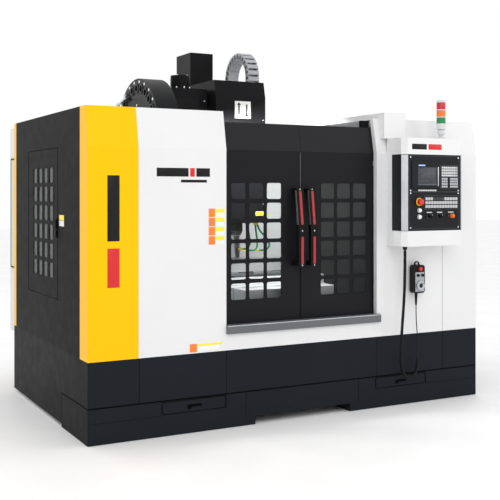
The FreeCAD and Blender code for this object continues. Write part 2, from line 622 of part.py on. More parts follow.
# ---------------------------------------------------------------- tank, drawers and skirts
tank_box = block("tank_box", "-half_width", "half_width", "front", "tank_rear", "0", "tank_high")
tank_cuts = [
    block("tank_notch", "-notch_half", "notch_half", "front - 1", "tank_rear + 1", "-1", "notch_high"),
    block("tank_room_left", "-half_width + tank_wall", "-notch_half - tank_wall", "front + tank_wall",
          "tank_rear - tank_wall", "tank_wall", "drawer_low - tank_wall"),
    block("tank_room_right", "notch_half + tank_wall", "half_width - tank_wall", "front + tank_wall",
          "tank_rear - tank_wall", "tank_wall", "drawer_low - tank_wall"),
    block("tank_room_middle", "-notch_half", "notch_half", "front + tank_wall",
          "tank_rear - tank_wall", "notch_high + tank_wall", "tank_high - tank_wall"),
]
for side, mark in (("-", "left"), ("", "right")):
    near = "-drawer_far" if side else "drawer_near"
    far = "-drawer_near" if side else "drawer_far"
    tank_cuts.append(block("drawer_bay_" + mark, near, far, "front - 1", "tank_rear - tank_wall",
                           "drawer_low", "drawer_high"))
    tank_cuts.append(block("drawer_mouth_" + mark, near + " + 30", far + " - 30", "front + 120",
                           "tank_rear - 40", "drawer_high - 1", "tank_high + 1"))
node("coolant_tank", carve("coolant_tank", tank_box, tank_cuts))

for side, mark in (("-", "left"), ("", "right")):
    near = "-drawer_far + drawer_gap" if side else "drawer_near + drawer_gap"
    far = "-drawer_near - drawer_gap" if side else "drawer_far - drawer_gap"
    tray = block("tray_%s_box" % mark, near, far, "front", "front + drawer_depth",
                 "drawer_low + 0.5", "drawer_high - 2")
    tray_room = block("tray_%s_room" % mark, near + " + sheet", far + " - sheet", "front + sheet",
                      "front + drawer_depth - sheet", "drawer_low + 0.5 + sheet", "drawer_high")
    middle = "-(drawer_near + drawer_far) / 2" if side else "(drawer_near + drawer_far) / 2"
    grip = block("tray_%s_grip" % mark, middle + " - 46", middle + " + 46", "front - 1",
                 "front + sheet + 1", "drawer_low + 30", "drawer_low + 46")
    label = "chip_drawer_" + mark
    node(label, carve(label, tray, [tray_room, grip]))

skirt_pieces = [
    block("skirt_front", "-half_width", "half_width", "front", "front + sheet", "tank_high", "skirt_top"),
    block("skirt_front_lip", "-half_width + sheet", "half_width - sheet", "front + sheet",
          "front + 30", "skirt_top - sheet", "skirt_top"),
]
for side, mark in (("-", "left"), ("", "right")):
    near = "-half_width" if side else "half_width - sheet"
    far = "-half_width + sheet" if side else "half_width"
    skirt_pieces.append(block("skirt_side_" + mark, near, far, "front", "rear", "tank_high", "skirt_top"))
    skirt_pieces.append(block("skirt_low_" + mark, near, far, "tank_rear + 2", "rear", "skirt_low",
                              "tank_high"))
node("skirts", join("skirts", skirt_pieces))

# ---------------------------------------------------------------- covers around the machine
yellow = [
    bent_sheet("corner_front", "-half_width", "corner"),
    bent_return("corner_side", "-half_width", "corner_return", "0"),
]
node("left_corner_cover", join("left_corner_cover", yellow))
white_left = [
    bent_sheet("left_front", "corner", "opening_left"),
    bent_return("left_edge", "opening_left - sheet", "34", "lean"),
]
node("left_front_cover", join("left_front_cover", white_left))

mount_points = [
    ("front - 20", "cap_top"), ("front", "cap_top"), ("front + lean * (cap_top - bend) / (cover_top - bend)", "cap_top"),
    ("front + lean", "cover_top"), ("front + 300", "cover_top"), ("front + 300", "cover_top + 34"),
    ("front - 20", "cover_top + 34"),
]
mount = slab("mount_block", "YZ_Plane", "roof_right", "175", mount_points)
hollow(mount, "YZ_Plane", "roof_right + sheet", "175 - 2 * sheet", [
    ("front - 20 + sheet", "cap_top + sheet"), ("front + 5", "cap_top + sheet"),
    ("front + lean", "cover_top + sheet"), ("front + 300 - sheet", "cover_top + sheet"),
    ("front + 300 - sheet", "cover_top + 34 - sheet"), ("front - 20 + sheet", "cover_top + 34 - sheet"),
])
white_right = [
    bent_sheet("right_front", "opening_right", "half_width"),
    bent_return("right_edge", "opening_right", "34", "lean"),
    bent_return("right_corner", "half_width - sheet", "corner_return", "0"),
    block("pendant_hook", "pendant_left + 25", "pendant_right - 25", "pendant_back", "front",
          "pendant_top - 60", "pendant_top - 10"),
]
node("right_front_cover", group("right_front_cover", [join("right_cover", white_right), mount]))

panel_left = block("panel_left", "-half_width", "-half_width + sheet", "front + corner_return",
                   "rear - post_width", "skirt_top", "cover_top")
panel_hole = block("panel_hole", "-half_width - 1", "-half_width + sheet + 1", "side_front",
                   "side_rear", "side_low", "side_top")
panel_right = block("panel_right", "half_width - sheet", "half_width", "front + corner_return",
                    "rear - post_width", "skirt_top", "cover_top")
panel_latch = block("panel_pull", "half_width", "half_width + 12", "side_front + 2",
                    "side_front + 24", "1182", "1242")
node("side_panels", group("side_panels", [
    carve("panel_left_cut", panel_left, [panel_hole]), join("panel_right_whole", [panel_right, panel_latch])]))

posts = []
for side, mark in (("-", "left"), ("", "right")):
    near = "-half_width" if side else "half_width - sheet"
    far = "-half_width + sheet" if side else "half_width"
    posts.append(block("post_side_" + mark, near, far, "rear - post_width", "rear", "skirt_top",
                       "cover_top"))
    near = "-half_width" if side else "half_width - 60"
    far = "-half_width + 60" if side else "half_width"
    posts.append(block("post_back_" + mark, near, far, "rear - sheet", "rear", "skirt_top", "cover_top"))
node("rear_posts", join("rear_posts", posts))

roof_front = "front + lean + sheet"
roof_pieces = [
    block("roof_left_panel", "-half_width + sheet", "roof_left", roof_front, "rear - sheet",
          "cover_top - sheet", "cover_top"),
    block("roof_right_panel", "roof_right", "half_width - sheet", roof_front, "rear - sheet",
          "cover_top - sheet", "cover_top"),
    block("roof_strip_left", "roof_left", "cam_left - 5", "wall_rear", "rear - sheet",
          "cover_top - sheet", "cover_top"),
    block("roof_strip_right", "column_base_half + 5", "roof_right", "wall_rear", "rear - sheet",
          "cover_top - sheet", "cover_top"),
    block("roof_coaming", "roof_right", "roof_right + sheet", "front + 300", "wall_rear",
          "cover_top", "cover_top + coaming"),
]
node("roof_panels", join("roof_panels", roof_pieces))

wall_top = "cover_top - sheet"
back_left = block("back_left", "-inner_wall", "-column_base_half - 5", "wall_rear - sheet", "wall_rear",
                  "bed_top", wall_top)
back_notch = block("back_notch", "cam_left - 5", "-column_base_half", "wall_rear - 5", "wall_rear + 1",
                   "cam_low + 50", "cover_top + 1")
wall_pieces = [
    block("wall_left", "-inner_wall - sheet", "-inner_wall", "wall_front", "wall_rear", "wall_low", wall_top),
    block("wall_right", "inner_wall", "inner_wall + sheet", "wall_front", "wall_rear", "wall_low", wall_top),
    carve("back_left_cut", back_left, [back_notch]),
    block("back_right", "column_base_half + 5", "inner_wall", "wall_rear - sheet", "wall_rear",
          "bed_top", wall_top),
]
for side, mark in (("-", "left"), ("", "right")):
    sign = "-" if side else ""
    wall_pieces.append(slab("chip_pan_" + mark, "XZ_Plane", "bed_heel - 60",
                            "wall_rear - bed_heel + 60", [
        (sign + "bed_half", "wall_low - 60"), (sign + "inner_wall", "wall_low"),
        (sign + "inner_wall", "wall_low + sheet"), (sign + "bed_half", "wall_low - 60 + sheet")]))
node("inner_walls", join("inner_walls", wall_pieces))

frame_pieces = []
for side, mark in (("-", "left"), ("", "right")):
    near = "-half_width + sheet" if side else "bed_half"
    far = "-bed_half" if side else "half_width - sheet"
    for place, spot in (("front", "bed_heel + 10"), ("rear", "rear - 65")):
        frame_pieces.append(block("beam_%s_%s" % (mark, place), near, far, spot, spot + " + 50",
                                  "wall_low - 118", "wall_low - 63"))
    near = "-half_width + 60" if side else "column_base_half + 5"
    far = "-column_base_half - 5" if side else "half_width - 60"
    frame_pieces.append(block("rear_panel_" + mark, near, far, "rear - sheet", "rear",
                              "column_low", "cover_top"))
    near = "-1060" if side else "1025"
    frame_pieces.append(block("front_post_" + mark, near, near + " + 35", "door_front + door_thick + 3",
                              "wall_front", "tank_high", "bend - 21"))
frame_pieces.append(block("door_track", "-1040", "1040", "door_front + door_thick + 3",
                          "door_front + door_thick + 15", "bend - 81", "bend - 51"))
node("enclosure_frame", join("enclosure_frame", frame_pieces))

apron_pieces = [
    block("apron_front", "opening_left", "opening_right", "front", "front + sheet", "skirt_top", "sill_low"),
    block("apron_lip", "opening_left", "opening_right", "front + sheet", "front + 60",
          "sill_low - sheet", "sill_low"),
]
node("apron", join("apron", apron_pieces))
sill_pieces = [
    block("sill_tread", "opening_left", "opening_right", "front", "door_front + 35", "sill_low", "sill_top"),
    block("sill_nose", "opening_left", "sill_right", "sill_front", "front", "sill_low", "sill_top"),
]
sill_room = block("sill_room", "opening_left + sheet", "opening_right - sheet", "sill_front + sheet",
                  "door_front + 35 - sheet", "sill_low - 1", "sill_top - sheet")
node("sill", carve("sill", join("sill_whole", sill_pieces), [sill_room]))

# ---------------------------------------------------------------- sliding doors
door_points = [
    ("door_front", "door_low"), ("door_front + door_thick", "door_low"),
    ("door_front + door_thick", "bend"), ("door_front + door_lean + door_thick", "door_top"),
    ("door_front + door_lean", "door_top"), ("door_front", "bend"),
]
door_room_points = [
    ("door_front + door_skin", "door_low + door_rim"),
    ("door_front + door_thick + 5", "door_low + door_rim"),
    ("door_front + door_thick + 5", "bend"),
    ("door_front + door_thick + 5 + door_lean * 0.8", "door_top - door_rim"),
    ("door_front + door_skin + door_lean * 0.8", "door_top - door_rim"),
    ("door_front + door_skin", "bend"),
]
handle_points = [
    ("door_front", "handle_low"), ("handle_front", "handle_low"), ("handle_front", "1200"),
    ("handle_front + 30", "handle_top"), ("door_front", "handle_top"),
    ("door_front", "handle_top - 25"), ("handle_front + 58", "handle_top - 25"),
    ("handle_front + 28", "1200"), ("handle_front + 28", "handle_low + 25"),
    ("door_front", "handle_low + 25"),
]
doors = (
    ("left", "opening_left + door_gap", "-door_gap / 2", "window_left", "-43"),
    ("right", "door_gap / 2", "opening_right - door_gap", "window_right", "45"),
)
for mark, x_low, x_high, first_window, handle_x in doors:
    wide = "(%s) - (%s)" % (x_high, x_low)
    panel = slab(mark + "_door_panel", "YZ_Plane", x_low, wide, door_points)
    hollow(panel, "YZ_Plane", x_low + " + door_rim", wide + " - 2 * door_rim", door_room_points)
    window_grid(panel, "XZ_Plane", "door_front", "door_skin",
                (first_window, "window_top - window_high"), "window_columns", "window_rows",
                ("window_pitch_x", "window_pitch_z"), "window_wide", "window_high", "window_round")
    hangers = []
    for place in ("-175", "175"):
        spot = "((%s) + (%s)) / 2 + (%s)" % (x_low, x_high, place)
        name = "%s_hanger_%s" % (mark, "near" if place == "175" else "far")
        hangers.append(block(name + "_arm", spot + " - 40", spot + " + 40", "door_front + door_skin",
                             "door_front + door_thick + 30", "bend - 50.5", "bend - 24"))
        hangers.append(block(name + "_hook", spot + " - 40", spot + " + 40",
                             "door_front + door_thick + 15.5", "door_front + door_thick + 30",
                             "bend - 75", "bend - 50.5"))
    handle = slab(mark + "_handle", "YZ_Plane", handle_x + " - handle_half", "2 * handle_half", handle_points)
    label = mark + "_door"
    node(label, join(label, [panel, handle] + hangers))
    glass = block(label + "_glass", first_window + " - 15",
                  first_window + " + window_pitch_x * (window_columns - 1) + window_wide + 15",
                  "door_front + door_skin", "door_front + door_skin + 6",
                  "window_top - window_high - window_pitch_z * (window_rows - 1) - 15", "window_top + 15")
    node(label + "_glass", glass)

# ---------------------------------------------------------------- access door on the left side
side_door = slab("side_door_panel", "YZ_Plane", "-half_width", "20", [
    ("side_front + side_gap", "side_low + side_gap"), ("side_rear - side_gap", "side_low + side_gap"),
    ("side_rear - side_gap", "side_top - side_gap"), ("side_front + side_gap", "side_top - side_gap"),
])
hollow(side_door, "YZ_Plane", "-half_width + sheet", "20", [
    ("side_front + 28", "side_low + 28"), ("side_rear - 28", "side_low + 28"),
    ("side_rear - 28", "side_top - 28"), ("side_front + 28", "side_top - 28"),
])
window_grid(side_door, "YZ_Plane", "-half_width", "sheet",
            ("side_window_front", "side_window_top - side_window_high"), "side_columns", "window_rows",
            ("side_pitch_y", "side_pitch_z"), "side_window_wide", "side_window_high", "window_round")
side_latch = block("side_latch", "-half_width - 12", "-half_width", "side_front + 5", "side_front + 27",
                   "1182", "1242")
node("side_door", join("side_door", [side_door, side_latch]))
node("side_door_glass", block(
    "side_door_glass", "-half_width + sheet", "-half_width + sheet + 5", "side_window_front - 15",
    "side_window_front + side_pitch_y * (side_columns - 1) + side_window_wide + 15",
    "side_window_top - side_window_high - side_pitch_z * (window_rows - 1) - 15",
    "side_window_top + 15"))

# ---------------------------------------------------------------- electrical cabinet
cabinet_box = block("cabinet_box", "cabinet_left", "cabinet_right", "rear", "cabinet_rear",
                    "cabinet_low", "cabinet_top")
cabinet_room = block("cabinet_room", "cabinet_left + sheet", "cabinet_right - sheet", "rear + sheet",
                     "cabinet_rear + 1", "cabinet_low + sheet", "cabinet_top - sheet")
cabinet_panel = block("cabinet_panel", "cabinet_left - 10", "cabinet_left", "rear + 5",
                      "cabinet_rear - 36", "830", "1669")
cabinet_plate = block("cabinet_plate", "cabinet_left + 60", "cabinet_right - 60", "rear + sheet",
                      "rear + 12", "cabinet_low + 80", "cabinet_top - 80")
cabinet_gear = []
for i in range(3):
    low = "cabinet_low + %d" % (200 + 420 * i)
    for j in range(3):
        left = "cabinet_left + %d" % (110 + 260 * j)
        cabinet_gear.append(block("drive_%d_%d" % (i + 1, j + 1), left, left + " + 190", "rear + 12",
                                  "rear + 190", low, low + " + 300"))
node("electrical_cabinet", join("electrical_cabinet", [
    carve("cabinet_shell", cabinet_box, [cabinet_room]), cabinet_panel, cabinet_plate] + cabinet_gear))
leaf = block("cabinet_leaf_box", "cabinet_left + sheet", "cabinet_right - sheet", "cabinet_rear + 0.5",
             "cabinet_rear + 0.5 + cabinet_door", "cabinet_low + sheet", "cabinet_top - sheet")
leaf_room = block("cabinet_leaf_room", "cabinet_left + 30", "cabinet_right - 30", "cabinet_rear - 1",
                  "cabinet_rear + cabinet_door - 2.5", "cabinet_low + 30", "cabinet_top - 30")
leaf_pull = block("cabinet_pull", "cabinet_left + 40", "cabinet_left + 70",
                  "cabinet_rear + 0.5 + cabinet_door", "-console_front + 29", "1080", "1230")
node("cabinet_door", join("cabinet_door", [carve("cabinet_leaf", leaf, [leaf_room]), leaf_pull]))

# ---------------------------------------------------------------- operator console
cap_points = [
    ("console_left", "front"), ("console_left", "console_front + chamfer"),
    ("console_left + chamfer", "console_front"), ("console_right - chamfer", "console_front"),
    ("console_right", "console_front + chamfer"), ("console_right", "front"),
]
console_frame_pieces = [
    slab("console_low_cap", "XY_Plane", "cap_low", "box_low - cap_low", cap_points),
    slab("console_top_cap", "XY_Plane", "box_top", "cap_top - box_top", cap_points),
    block("console_back", "console_left", "console_right", "console_spine", "front", "box_low", "box_top"),
]
node("console_frame", join("console_frame", console_frame_pieces))
box_points = [
    ("console_left + 2", "console_spine"), ("console_left + 2", "console_front + chamfer"),
    ("console_left + chamfer + 2", "console_front + 2"),
    ("console_right - chamfer - 2", "console_front + 2"),
    ("console_right - 2", "console_front + chamfer"), ("console_right - 2", "console_spine"),
]
console_box = slab("console_box_body", "XY_Plane", "box_low + 2", "box_top - box_low - 4", box_points)
hollow(console_box, "XY_Plane", "box_low + 5", "box_top - box_low - 10", [
    ("console_left + 6", "console_spine - 3"), ("console_left + 6", "console_front + chamfer + 3"),
    ("console_left + chamfer + 5", "console_front + 6"),
    ("console_right - chamfer - 5", "console_front + 6"),
    ("console_right - 6", "console_front + chamfer + 3"), ("console_right - 6", "console_spine - 3"),
])
bezel = block("lcd_bezel", "699", "927", "console_front - 4", "console_front + 2", "1432", "1608")
bezel_hole = block("lcd_hole", "743", "907", "console_front - 5", "console_front + 1", "1443", "1572")
console_shims = [
    block("console_shim_low", "console_left + 60", "console_right - 60", "console_front + 10",
          "console_spine", "box_low", "box_low + 2"),
    block("console_shim_top", "console_left + 60", "console_right - 60", "console_front + 10",
          "console_spine", "box_top - 2", "box_top"),
]
estop_ring = rod("estop_ring", "y", "759", "console_front - 4", "1343", "26", "6")
knob_holes = []
CONTROLS = (
    ("emergency_stop", 759, 1343, 9, 21, 16), ("start_button", 759, 1288, 9, 13, 8),
    ("hold_button", 759, 1246, 9, 13, 8), ("feed_knob", 844, 1251, 5, 14, 18),
    ("speed_knob", 929, 1251, 5, 14, 18), ("mode_knob", 1023, 1250, 5, 14, 18),
)
for label, x, z, stem, head, proud in CONTROLS:
    knob_holes.append(rod(label + "_hole", "y", str(x), "console_front - 6", str(z), "%g" % (stem + 0.5), "16"))
node("console_box", carve("console_box", join("console_box_whole", [
    console_box, carve("lcd_frame", bezel, [bezel_hole]), estop_ring] + console_shims), knob_holes))
node("lcd_screen", block("lcd_screen", "743", "907", "console_front - 1", "console_front + 1", "1443", "1572"))

key_caps = []


def key_field(name, left, low, columns, rows, pitch_x, pitch_z, wide, high):
    """A block of equal push keys on the console face."""
    for i in range(columns):
        for j in range(rows):
            x = left + pitch_x * i
            z = low + pitch_z * j
            key_caps.append(block("%s_%d_%d" % (name, i + 1, j + 1), str(x), str(x + wide),
                                  "console_front - 3", "console_front + 2", str(z), str(z + high)))


key_field("letter_key", 945, 1509, 8, 4, 17, 17, 13, 13)
key_field("cursor_key", 945, 1436, 3, 4, 17, 17, 13, 13)
key_field("page_key", 1015, 1436, 4, 4, 17, 17, 13, 13)
key_field("soft_key", 752, 1412, 8, 1, 19, 17, 14, 10)
key_field("mode_key", 810, 1303, 12, 3, 22.5, 25, 18, 19)
node("console_keys", group("console_keys", key_caps))

for label, x, z, stem, head, proud in CONTROLS:
    lift = 9.5 if label == "emergency_stop" else 5
    start = "console_front - %g" % (lift + proud)
    pieces = [rod(label + "_cap", "y", str(x), start, str(z), str(head), str(proud))]
    pieces.append(rod(label + "_stem", "y", str(x), start, str(z), str(stem), "%g" % (proud + lift + 9)))
    if label == "emergency_stop":
        pieces.append(rod("estop_dome", "y", str(x), "console_front - 29", str(z), "17", "9"))
    if label in ("feed_knob", "speed_knob", "mode_knob"):
        pieces.append(block(label + "_ridge", str(x - 3), str(x + 3), "console_front - %g" % (10 + proud),
                            "console_front - %g" % (4 + proud), str(z - 13), str(z + 13)))
    node(label, join(label, pieces))

# ---------------------------------------------------------------- signal tower
tower_pieces = [
    rod("tower_foot", "z", "tower_x", "tower_y", "cap_top", "28", "14"),
    rod("tower_neck", "z", "tower_x", "tower_y", "cap_top + 12", "14", "30"),
    rod("tower_base", "z", "tower_x", "tower_y", "cap_top + 66", "tower_radius", "39"),
    rod("tower_core", "z", "tower_x", "tower_y", "cap_top + 100", "tower_radius - 12", "150"),
    rod("tower_cap", "z", "tower_x", "tower_y", "cap_top + 245", "tower_radius", "15"),
    rod("tower_gap_low", "z", "tower_x", "tower_y", "cap_top + 144", "tower_radius - 2", "8"),
    rod("tower_gap_high", "z", "tower_x", "tower_y", "cap_top + 192", "tower_radius - 2", "8"),
]
knuckle = doc.addObject("Part::Sphere", "tower_knuckle")
knuckle.setExpression("Placement.Base.x", expr("tower_x"))
knuckle.setExpression("Placement.Base.y", expr("tower_y"))
knuckle.setExpression("Placement.Base.z", expr("cap_top + 46"))
knuckle.setExpression("Radius", expr("tower_radius - 4"))
node("tower_post", join("tower_post", tower_pieces + [knuckle]))
lenses = []
for mark, low, high in (("green", 105, 39), ("amber", 152, 40), ("red", 200, 45)):
    ring = rod("lens_%s_ring" % mark, "z", "tower_x", "tower_y", "cap_top + %d" % low, "tower_radius", str(high))
    room = rod("lens_%s_room" % mark, "z", "tower_x", "tower_y", "cap_top + %d" % (low - 1),
               "tower_radius - 12", str(high + 2))
    lenses.append(carve("lens_" + mark, ring, [room]))
node("tower_lenses", group("tower_lenses", lenses))

# ---------------------------------------------------------------- hand pendant and its cord
pendant_middle = "(pendant_left + pendant_right) / 2"
pendant = slab("pendant_case", "XZ_Plane", "pendant_front", "pendant_back - pendant_front", [
    ("pendant_left + 10", "pendant_low"), ("pendant_right - 10", "pendant_low"),
    ("pendant_right", "pendant_low + 12"), ("pendant_right", "pendant_top - 12"),
    ("pendant_right - 10", "pendant_top"), ("pendant_left + 10", "pendant_top"),
    ("pendant_left", "pendant_top - 12"), ("pendant_left", "pendant_low + 12"),
])
loop_ring = rod("pendant_loop_ring", "y", pendant_middle, "pendant_back - 24", "pendant_top + 4", "20", "10")
loop_hole = rod("pendant_loop_hole", "y", pendant_middle, "pendant_back - 25", "pendant_top + 6", "12", "12")
loop_cut = carve("pendant_loop", loop_ring, [loop_hole])
relief = taper("pendant_relief", "z", "846", "pendant_front + 25", "657", "6", "11", "pendant_low - 657")
pendant_holes = []
PENDANT_CONTROLS = (
    ("pendant_stop", 857, 898, 6, 13, 12), ("axis_selector", 838, 856, 4, 9, 12),
    ("step_selector", 876, 856, 4, 9, 12), ("pendant_dial", 857, 788, 6, 32, 12),
)
for label, x, z, stem, head, proud in PENDANT_CONTROLS:
    pendant_holes.append(rod(label + "_hole", "y", str(x), "pendant_front - 2", str(z), "%g" % (stem + 0.5), "16"))
pendant_plate = block("pendant_plate", "pendant_left + 8", "pendant_right - 8", "pendant_front - 1.5",
                      "pendant_front", "748", "876")
node("pendant_body", carve("pendant_body", join("pendant_whole", [
    pendant, loop_cut, relief, pendant_plate]), pendant_holes))
for label, x, z, stem, head, proud in PENDANT_CONTROLS:
    start = "pendant_front - %g" % (2.5 + proud)
    pieces = [
        rod(label + "_cap", "y", str(x), start, str(z), str(head), str(proud)),
        rod(label + "_stem", "y", str(x), start, str(z), str(stem), str(proud + 14)),
    ]
    if label == "pendant_dial":
        pieces.append(rod("dial_crank", "y", str(x + 18), "pendant_front - 30", str(z + 14), "5", "16"))
    if label in ("axis_selector", "step_selector"):
        pieces.append(block(label + "_pointer", str(x - 2), str(x + 2), "pendant_front - %g" % (5 + proud),
                            "pendant_front - %g" % (2 + proud), str(z - 8), str(z + 8)))
    node(label, join(label, pieces))

node("cord_gland", taper("cord_gland", "z", "708", "-1080", "cap_low - 26", "12", "17", "26"))
gland_end = number("cap_low - 26")
CURLY = [
    (708, -1080, gland_end), (708, -1080, 870), (702, -1078, 700), (691, -1073, 540), (684, -1069, 400),
    (690, -1062, 275), (722, -1053, 205), (770, -1045, 187), (820, -1036, 200), (847, -1030, 238),
    (847, -1030, 291),
]
TAIL = [(847, -1030, 291), (847, -1030, 370), (852, -1026, 465), (846, -1020, 565), (846, -1020, 657)]
node("pendant_cord", tube("pendant_cord", CURLY, number("cord_radius")))
node("pendant_tail", tube("pendant_tail", TAIL, number("tail_radius")))

# ---------------------------------------------------------------- check and export
doc.recompute()
os.makedirs("parts", exist_ok=True)
for thing in doc.Objects:
    if "Invalid" in thing.State or "Error" in thing.State:
        raise ValueError("%s (%s) did not build: %s" % (thing.Name, thing.Label, thing.State))
for label, thing in PARTS.items():
    shape = thing.Shape
    if shape.isNull() or not shape.isValid() or not shape.Solids:
        raise ValueError(label + " has no valid solid")
    shape.exportStep("parts/%s.step" % label)
    box = shape.BoundBox
    print("%-20s solids %3d  X %8.1f %8.1f  Y %8.1f %8.1f  Z %8.1f %8.1f" % (
        label, len(shape.Solids), box.XMin, box.XMax, box.YMin, box.YMax, box.ZMin, box.ZMax))
print("nodes", len(PARTS))
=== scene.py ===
import bmesh
import bpy
import math
from mathutils import Matrix, Vector


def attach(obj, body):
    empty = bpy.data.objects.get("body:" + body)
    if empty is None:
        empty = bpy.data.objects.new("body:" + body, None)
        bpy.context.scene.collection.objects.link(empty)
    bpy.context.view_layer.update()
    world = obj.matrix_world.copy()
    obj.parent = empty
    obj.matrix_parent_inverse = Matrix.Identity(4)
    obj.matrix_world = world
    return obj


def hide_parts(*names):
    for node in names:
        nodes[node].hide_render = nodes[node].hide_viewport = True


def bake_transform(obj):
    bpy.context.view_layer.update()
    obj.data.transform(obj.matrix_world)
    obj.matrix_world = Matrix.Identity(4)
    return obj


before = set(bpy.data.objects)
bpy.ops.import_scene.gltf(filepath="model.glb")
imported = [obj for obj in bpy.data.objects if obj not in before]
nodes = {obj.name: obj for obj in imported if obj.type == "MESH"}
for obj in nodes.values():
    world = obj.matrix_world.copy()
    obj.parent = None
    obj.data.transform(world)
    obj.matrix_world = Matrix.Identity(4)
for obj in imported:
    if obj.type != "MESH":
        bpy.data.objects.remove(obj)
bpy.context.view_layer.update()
bpy.context.scene.view_settings.view_transform = "Standard"


# ------------------------------------------------------------ materials
def linear(red, green, blue):
    """Screen colour, 0 to 255, as linear light."""
    out = []
    for c in (red / 255, green / 255, blue / 255):
        out.append(c / 12.92 if c < 0.04045 else ((c + 0.055) / 1.055) ** 2.4)
    return (out[0], out[1], out[2], 1.0)


def fresh(name):
    """A material with its node tree, principled shader and object coordinates."""
    mat = bpy.data.materials.new(name)
    mat.use_nodes = True
    tree = mat.node_tree
    shader = tree.nodes["Principled BSDF"]
    place = tree.nodes.new("ShaderNodeTexCoord")
    return mat, tree, shader, place.outputs["Object"]


def noise(tree, place, scale, detail=3.0, stretch=None):
    """Noise in metres; stretch squeezes it along the axes."""
    if stretch:
        mapping = tree.nodes.new("ShaderNodeMapping")
        mapping.inputs["Scale"].default_value = stretch
        tree.links.new(place, mapping.inputs["Vector"])
        place = mapping.outputs["Vector"]
    node = tree.nodes.new("ShaderNodeTexNoise")
    node.inputs["Scale"].default_value = scale
    node.inputs["Detail"].default_value = detail
    tree.links.new(place, node.inputs["Vector"])
    return node.outputs["Fac"]


def remap(tree, value, low, high, start=0.3, end=0.7):
    """Stretches values between start and end to the range low to high."""
    node = tree.nodes.new("ShaderNodeMapRange")
    node.inputs["From Min"].default_value = start
    node.inputs["From Max"].default_value = end
    node.inputs["To Min"].default_value = low
    node.inputs["To Max"].default_value = high
    tree.links.new(value, node.inputs["Value"])
    return node.outputs["Result"]


def mix(tree, share, first, second):
    """Colour mix; each side is a colour or a socket."""
    node = tree.nodes.new("ShaderNodeMix")
    node.data_type = "RGBA"
    for socket, value in (("A", first), ("B", second)):
        target = [s for s in node.inputs if s.name == socket and s.type == "RGBA"][0]
        if isinstance(value, tuple):
            target.default_value = value
        else:
            tree.links.new(value, target)
    factor = [s for s in node.inputs if s.name == "Factor" and s.type == "VALUE"][0]
    if isinstance(share, float):
        factor.default_value = share
    else:
        tree.links.new(share, factor)
    return [s for s in node.outputs if s.type == "RGBA"][0]


def zone(tree, place, limits):
    """1 where the point lies within the limits: a list of (axis, 'above' or 'below', metres)."""
    split = tree.nodes.new("ShaderNodeSeparateXYZ")
    tree.links.new(place, split.inputs[0])
    result = None
    for axis, side, metres in limits:
        test = tree.nodes.new("ShaderNodeMath")
        test.operation = "GREATER_THAN" if side == "above" else "LESS_THAN"
        test.inputs[1].default_value = metres
        tree.links.new(split.outputs["XYZ".index(axis)], test.inputs[0])
        value = test.outputs[0]
        if result is not None:
            both = tree.nodes.new("ShaderNodeMath")
            both.operation = "MULTIPLY"
            tree.links.new(result, both.inputs[0])
            tree.links.new(value, both.inputs[1])
            value = both.outputs[0]
        result = value
    return result


def relief(tree, shader, height, strength, distance, edge):
    """Bump over softly rounded edges."""
    bump = tree.nodes.new("ShaderNodeBump")
    bump.inputs["Strength"].default_value = strength
    bump.inputs["Distance"].default_value = distance
    tree.links.new(height, bump.inputs["Height"])
    if edge:
        bevel = tree.nodes.new("ShaderNodeBevel")
        bevel.samples = 4
        bevel.inputs["Radius"].default_value = edge
        tree.links.new(bevel.outputs["Normal"], bump.inputs["Normal"])
    tree.links.new(bump.outputs["Normal"], shader.inputs["Normal"])


def painted(name, colour, rough=0.4, grain=0.25, coat=0.0, zones=(), edge=0.002, dirt=0.04, gloss=0.5,
            scale=900):
    """Sprayed or powder-coated metal or moulded plastic: fine texture, uneven sheen, faint handling marks."""
    mat, tree, shader, place = fresh(name)
    cloud = noise(tree, place, 1.7, 3.0)
    dark = tuple(c * (1 - dirt) for c in colour[:3]) + (1.0,)
    light = tuple(min(1.0, c * (1 + dirt)) for c in colour[:3]) + (1.0,)
    base = mix(tree, remap(tree, cloud, 0.0, 1.0), dark, light)
    for limits, other in zones:
        base = mix(tree, zone(tree, place, limits), base, other)
    tree.links.new(base, shader.inputs["Base Color"])
    smear = noise(tree, place, 14.0, 5.0)
    tree.links.new(remap(tree, smear, max(0.03, rough - 0.03), rough + 0.04), shader.inputs["Roughness"])
    shader.inputs["Specular IOR Level"].default_value = gloss
    shader.inputs["Coat Weight"].default_value = coat
    shader.inputs["Coat Roughness"].default_value = 0.12
    relief(tree, shader, noise(tree, place, scale, 2.0), grain, 0.0006, edge)
    return mat


def metal(name, colour, rough=0.3, along=(1.0, 40.0, 40.0), zones=(), edge=0.0012, scratch=0.25,
          bare=1.0):
    """Machined or brushed metal: fine lines along one axis, stains, uneven polish; bare is its metallic share."""
    mat, tree, shader, place = fresh(name)
    lines = noise(tree, place, 22.0, 6.0, along)
    stain = noise(tree, place, 5.0, 4.0)
    dark = tuple(c * 0.72 for c in colour[:3]) + (1.0,)
    base = mix(tree, remap(tree, stain, 0.0, 1.0), dark, colour)
    base = mix(tree, remap(tree, lines, 0.0, 0.25), base, (0.95, 0.95, 0.96, 1.0))
    for limits, other in zones:
        base = mix(tree, zone(tree, place, limits), base, other)
    tree.links.new(base, shader.inputs["Base Color"])
    shader.inputs["Metallic"].default_value = bare
    tree.links.new(remap(tree, lines, rough - 0.07, rough + 0.12), shader.inputs["Roughness"])
    relief(tree, shader, lines, scratch, 0.0004, edge)
    return mat


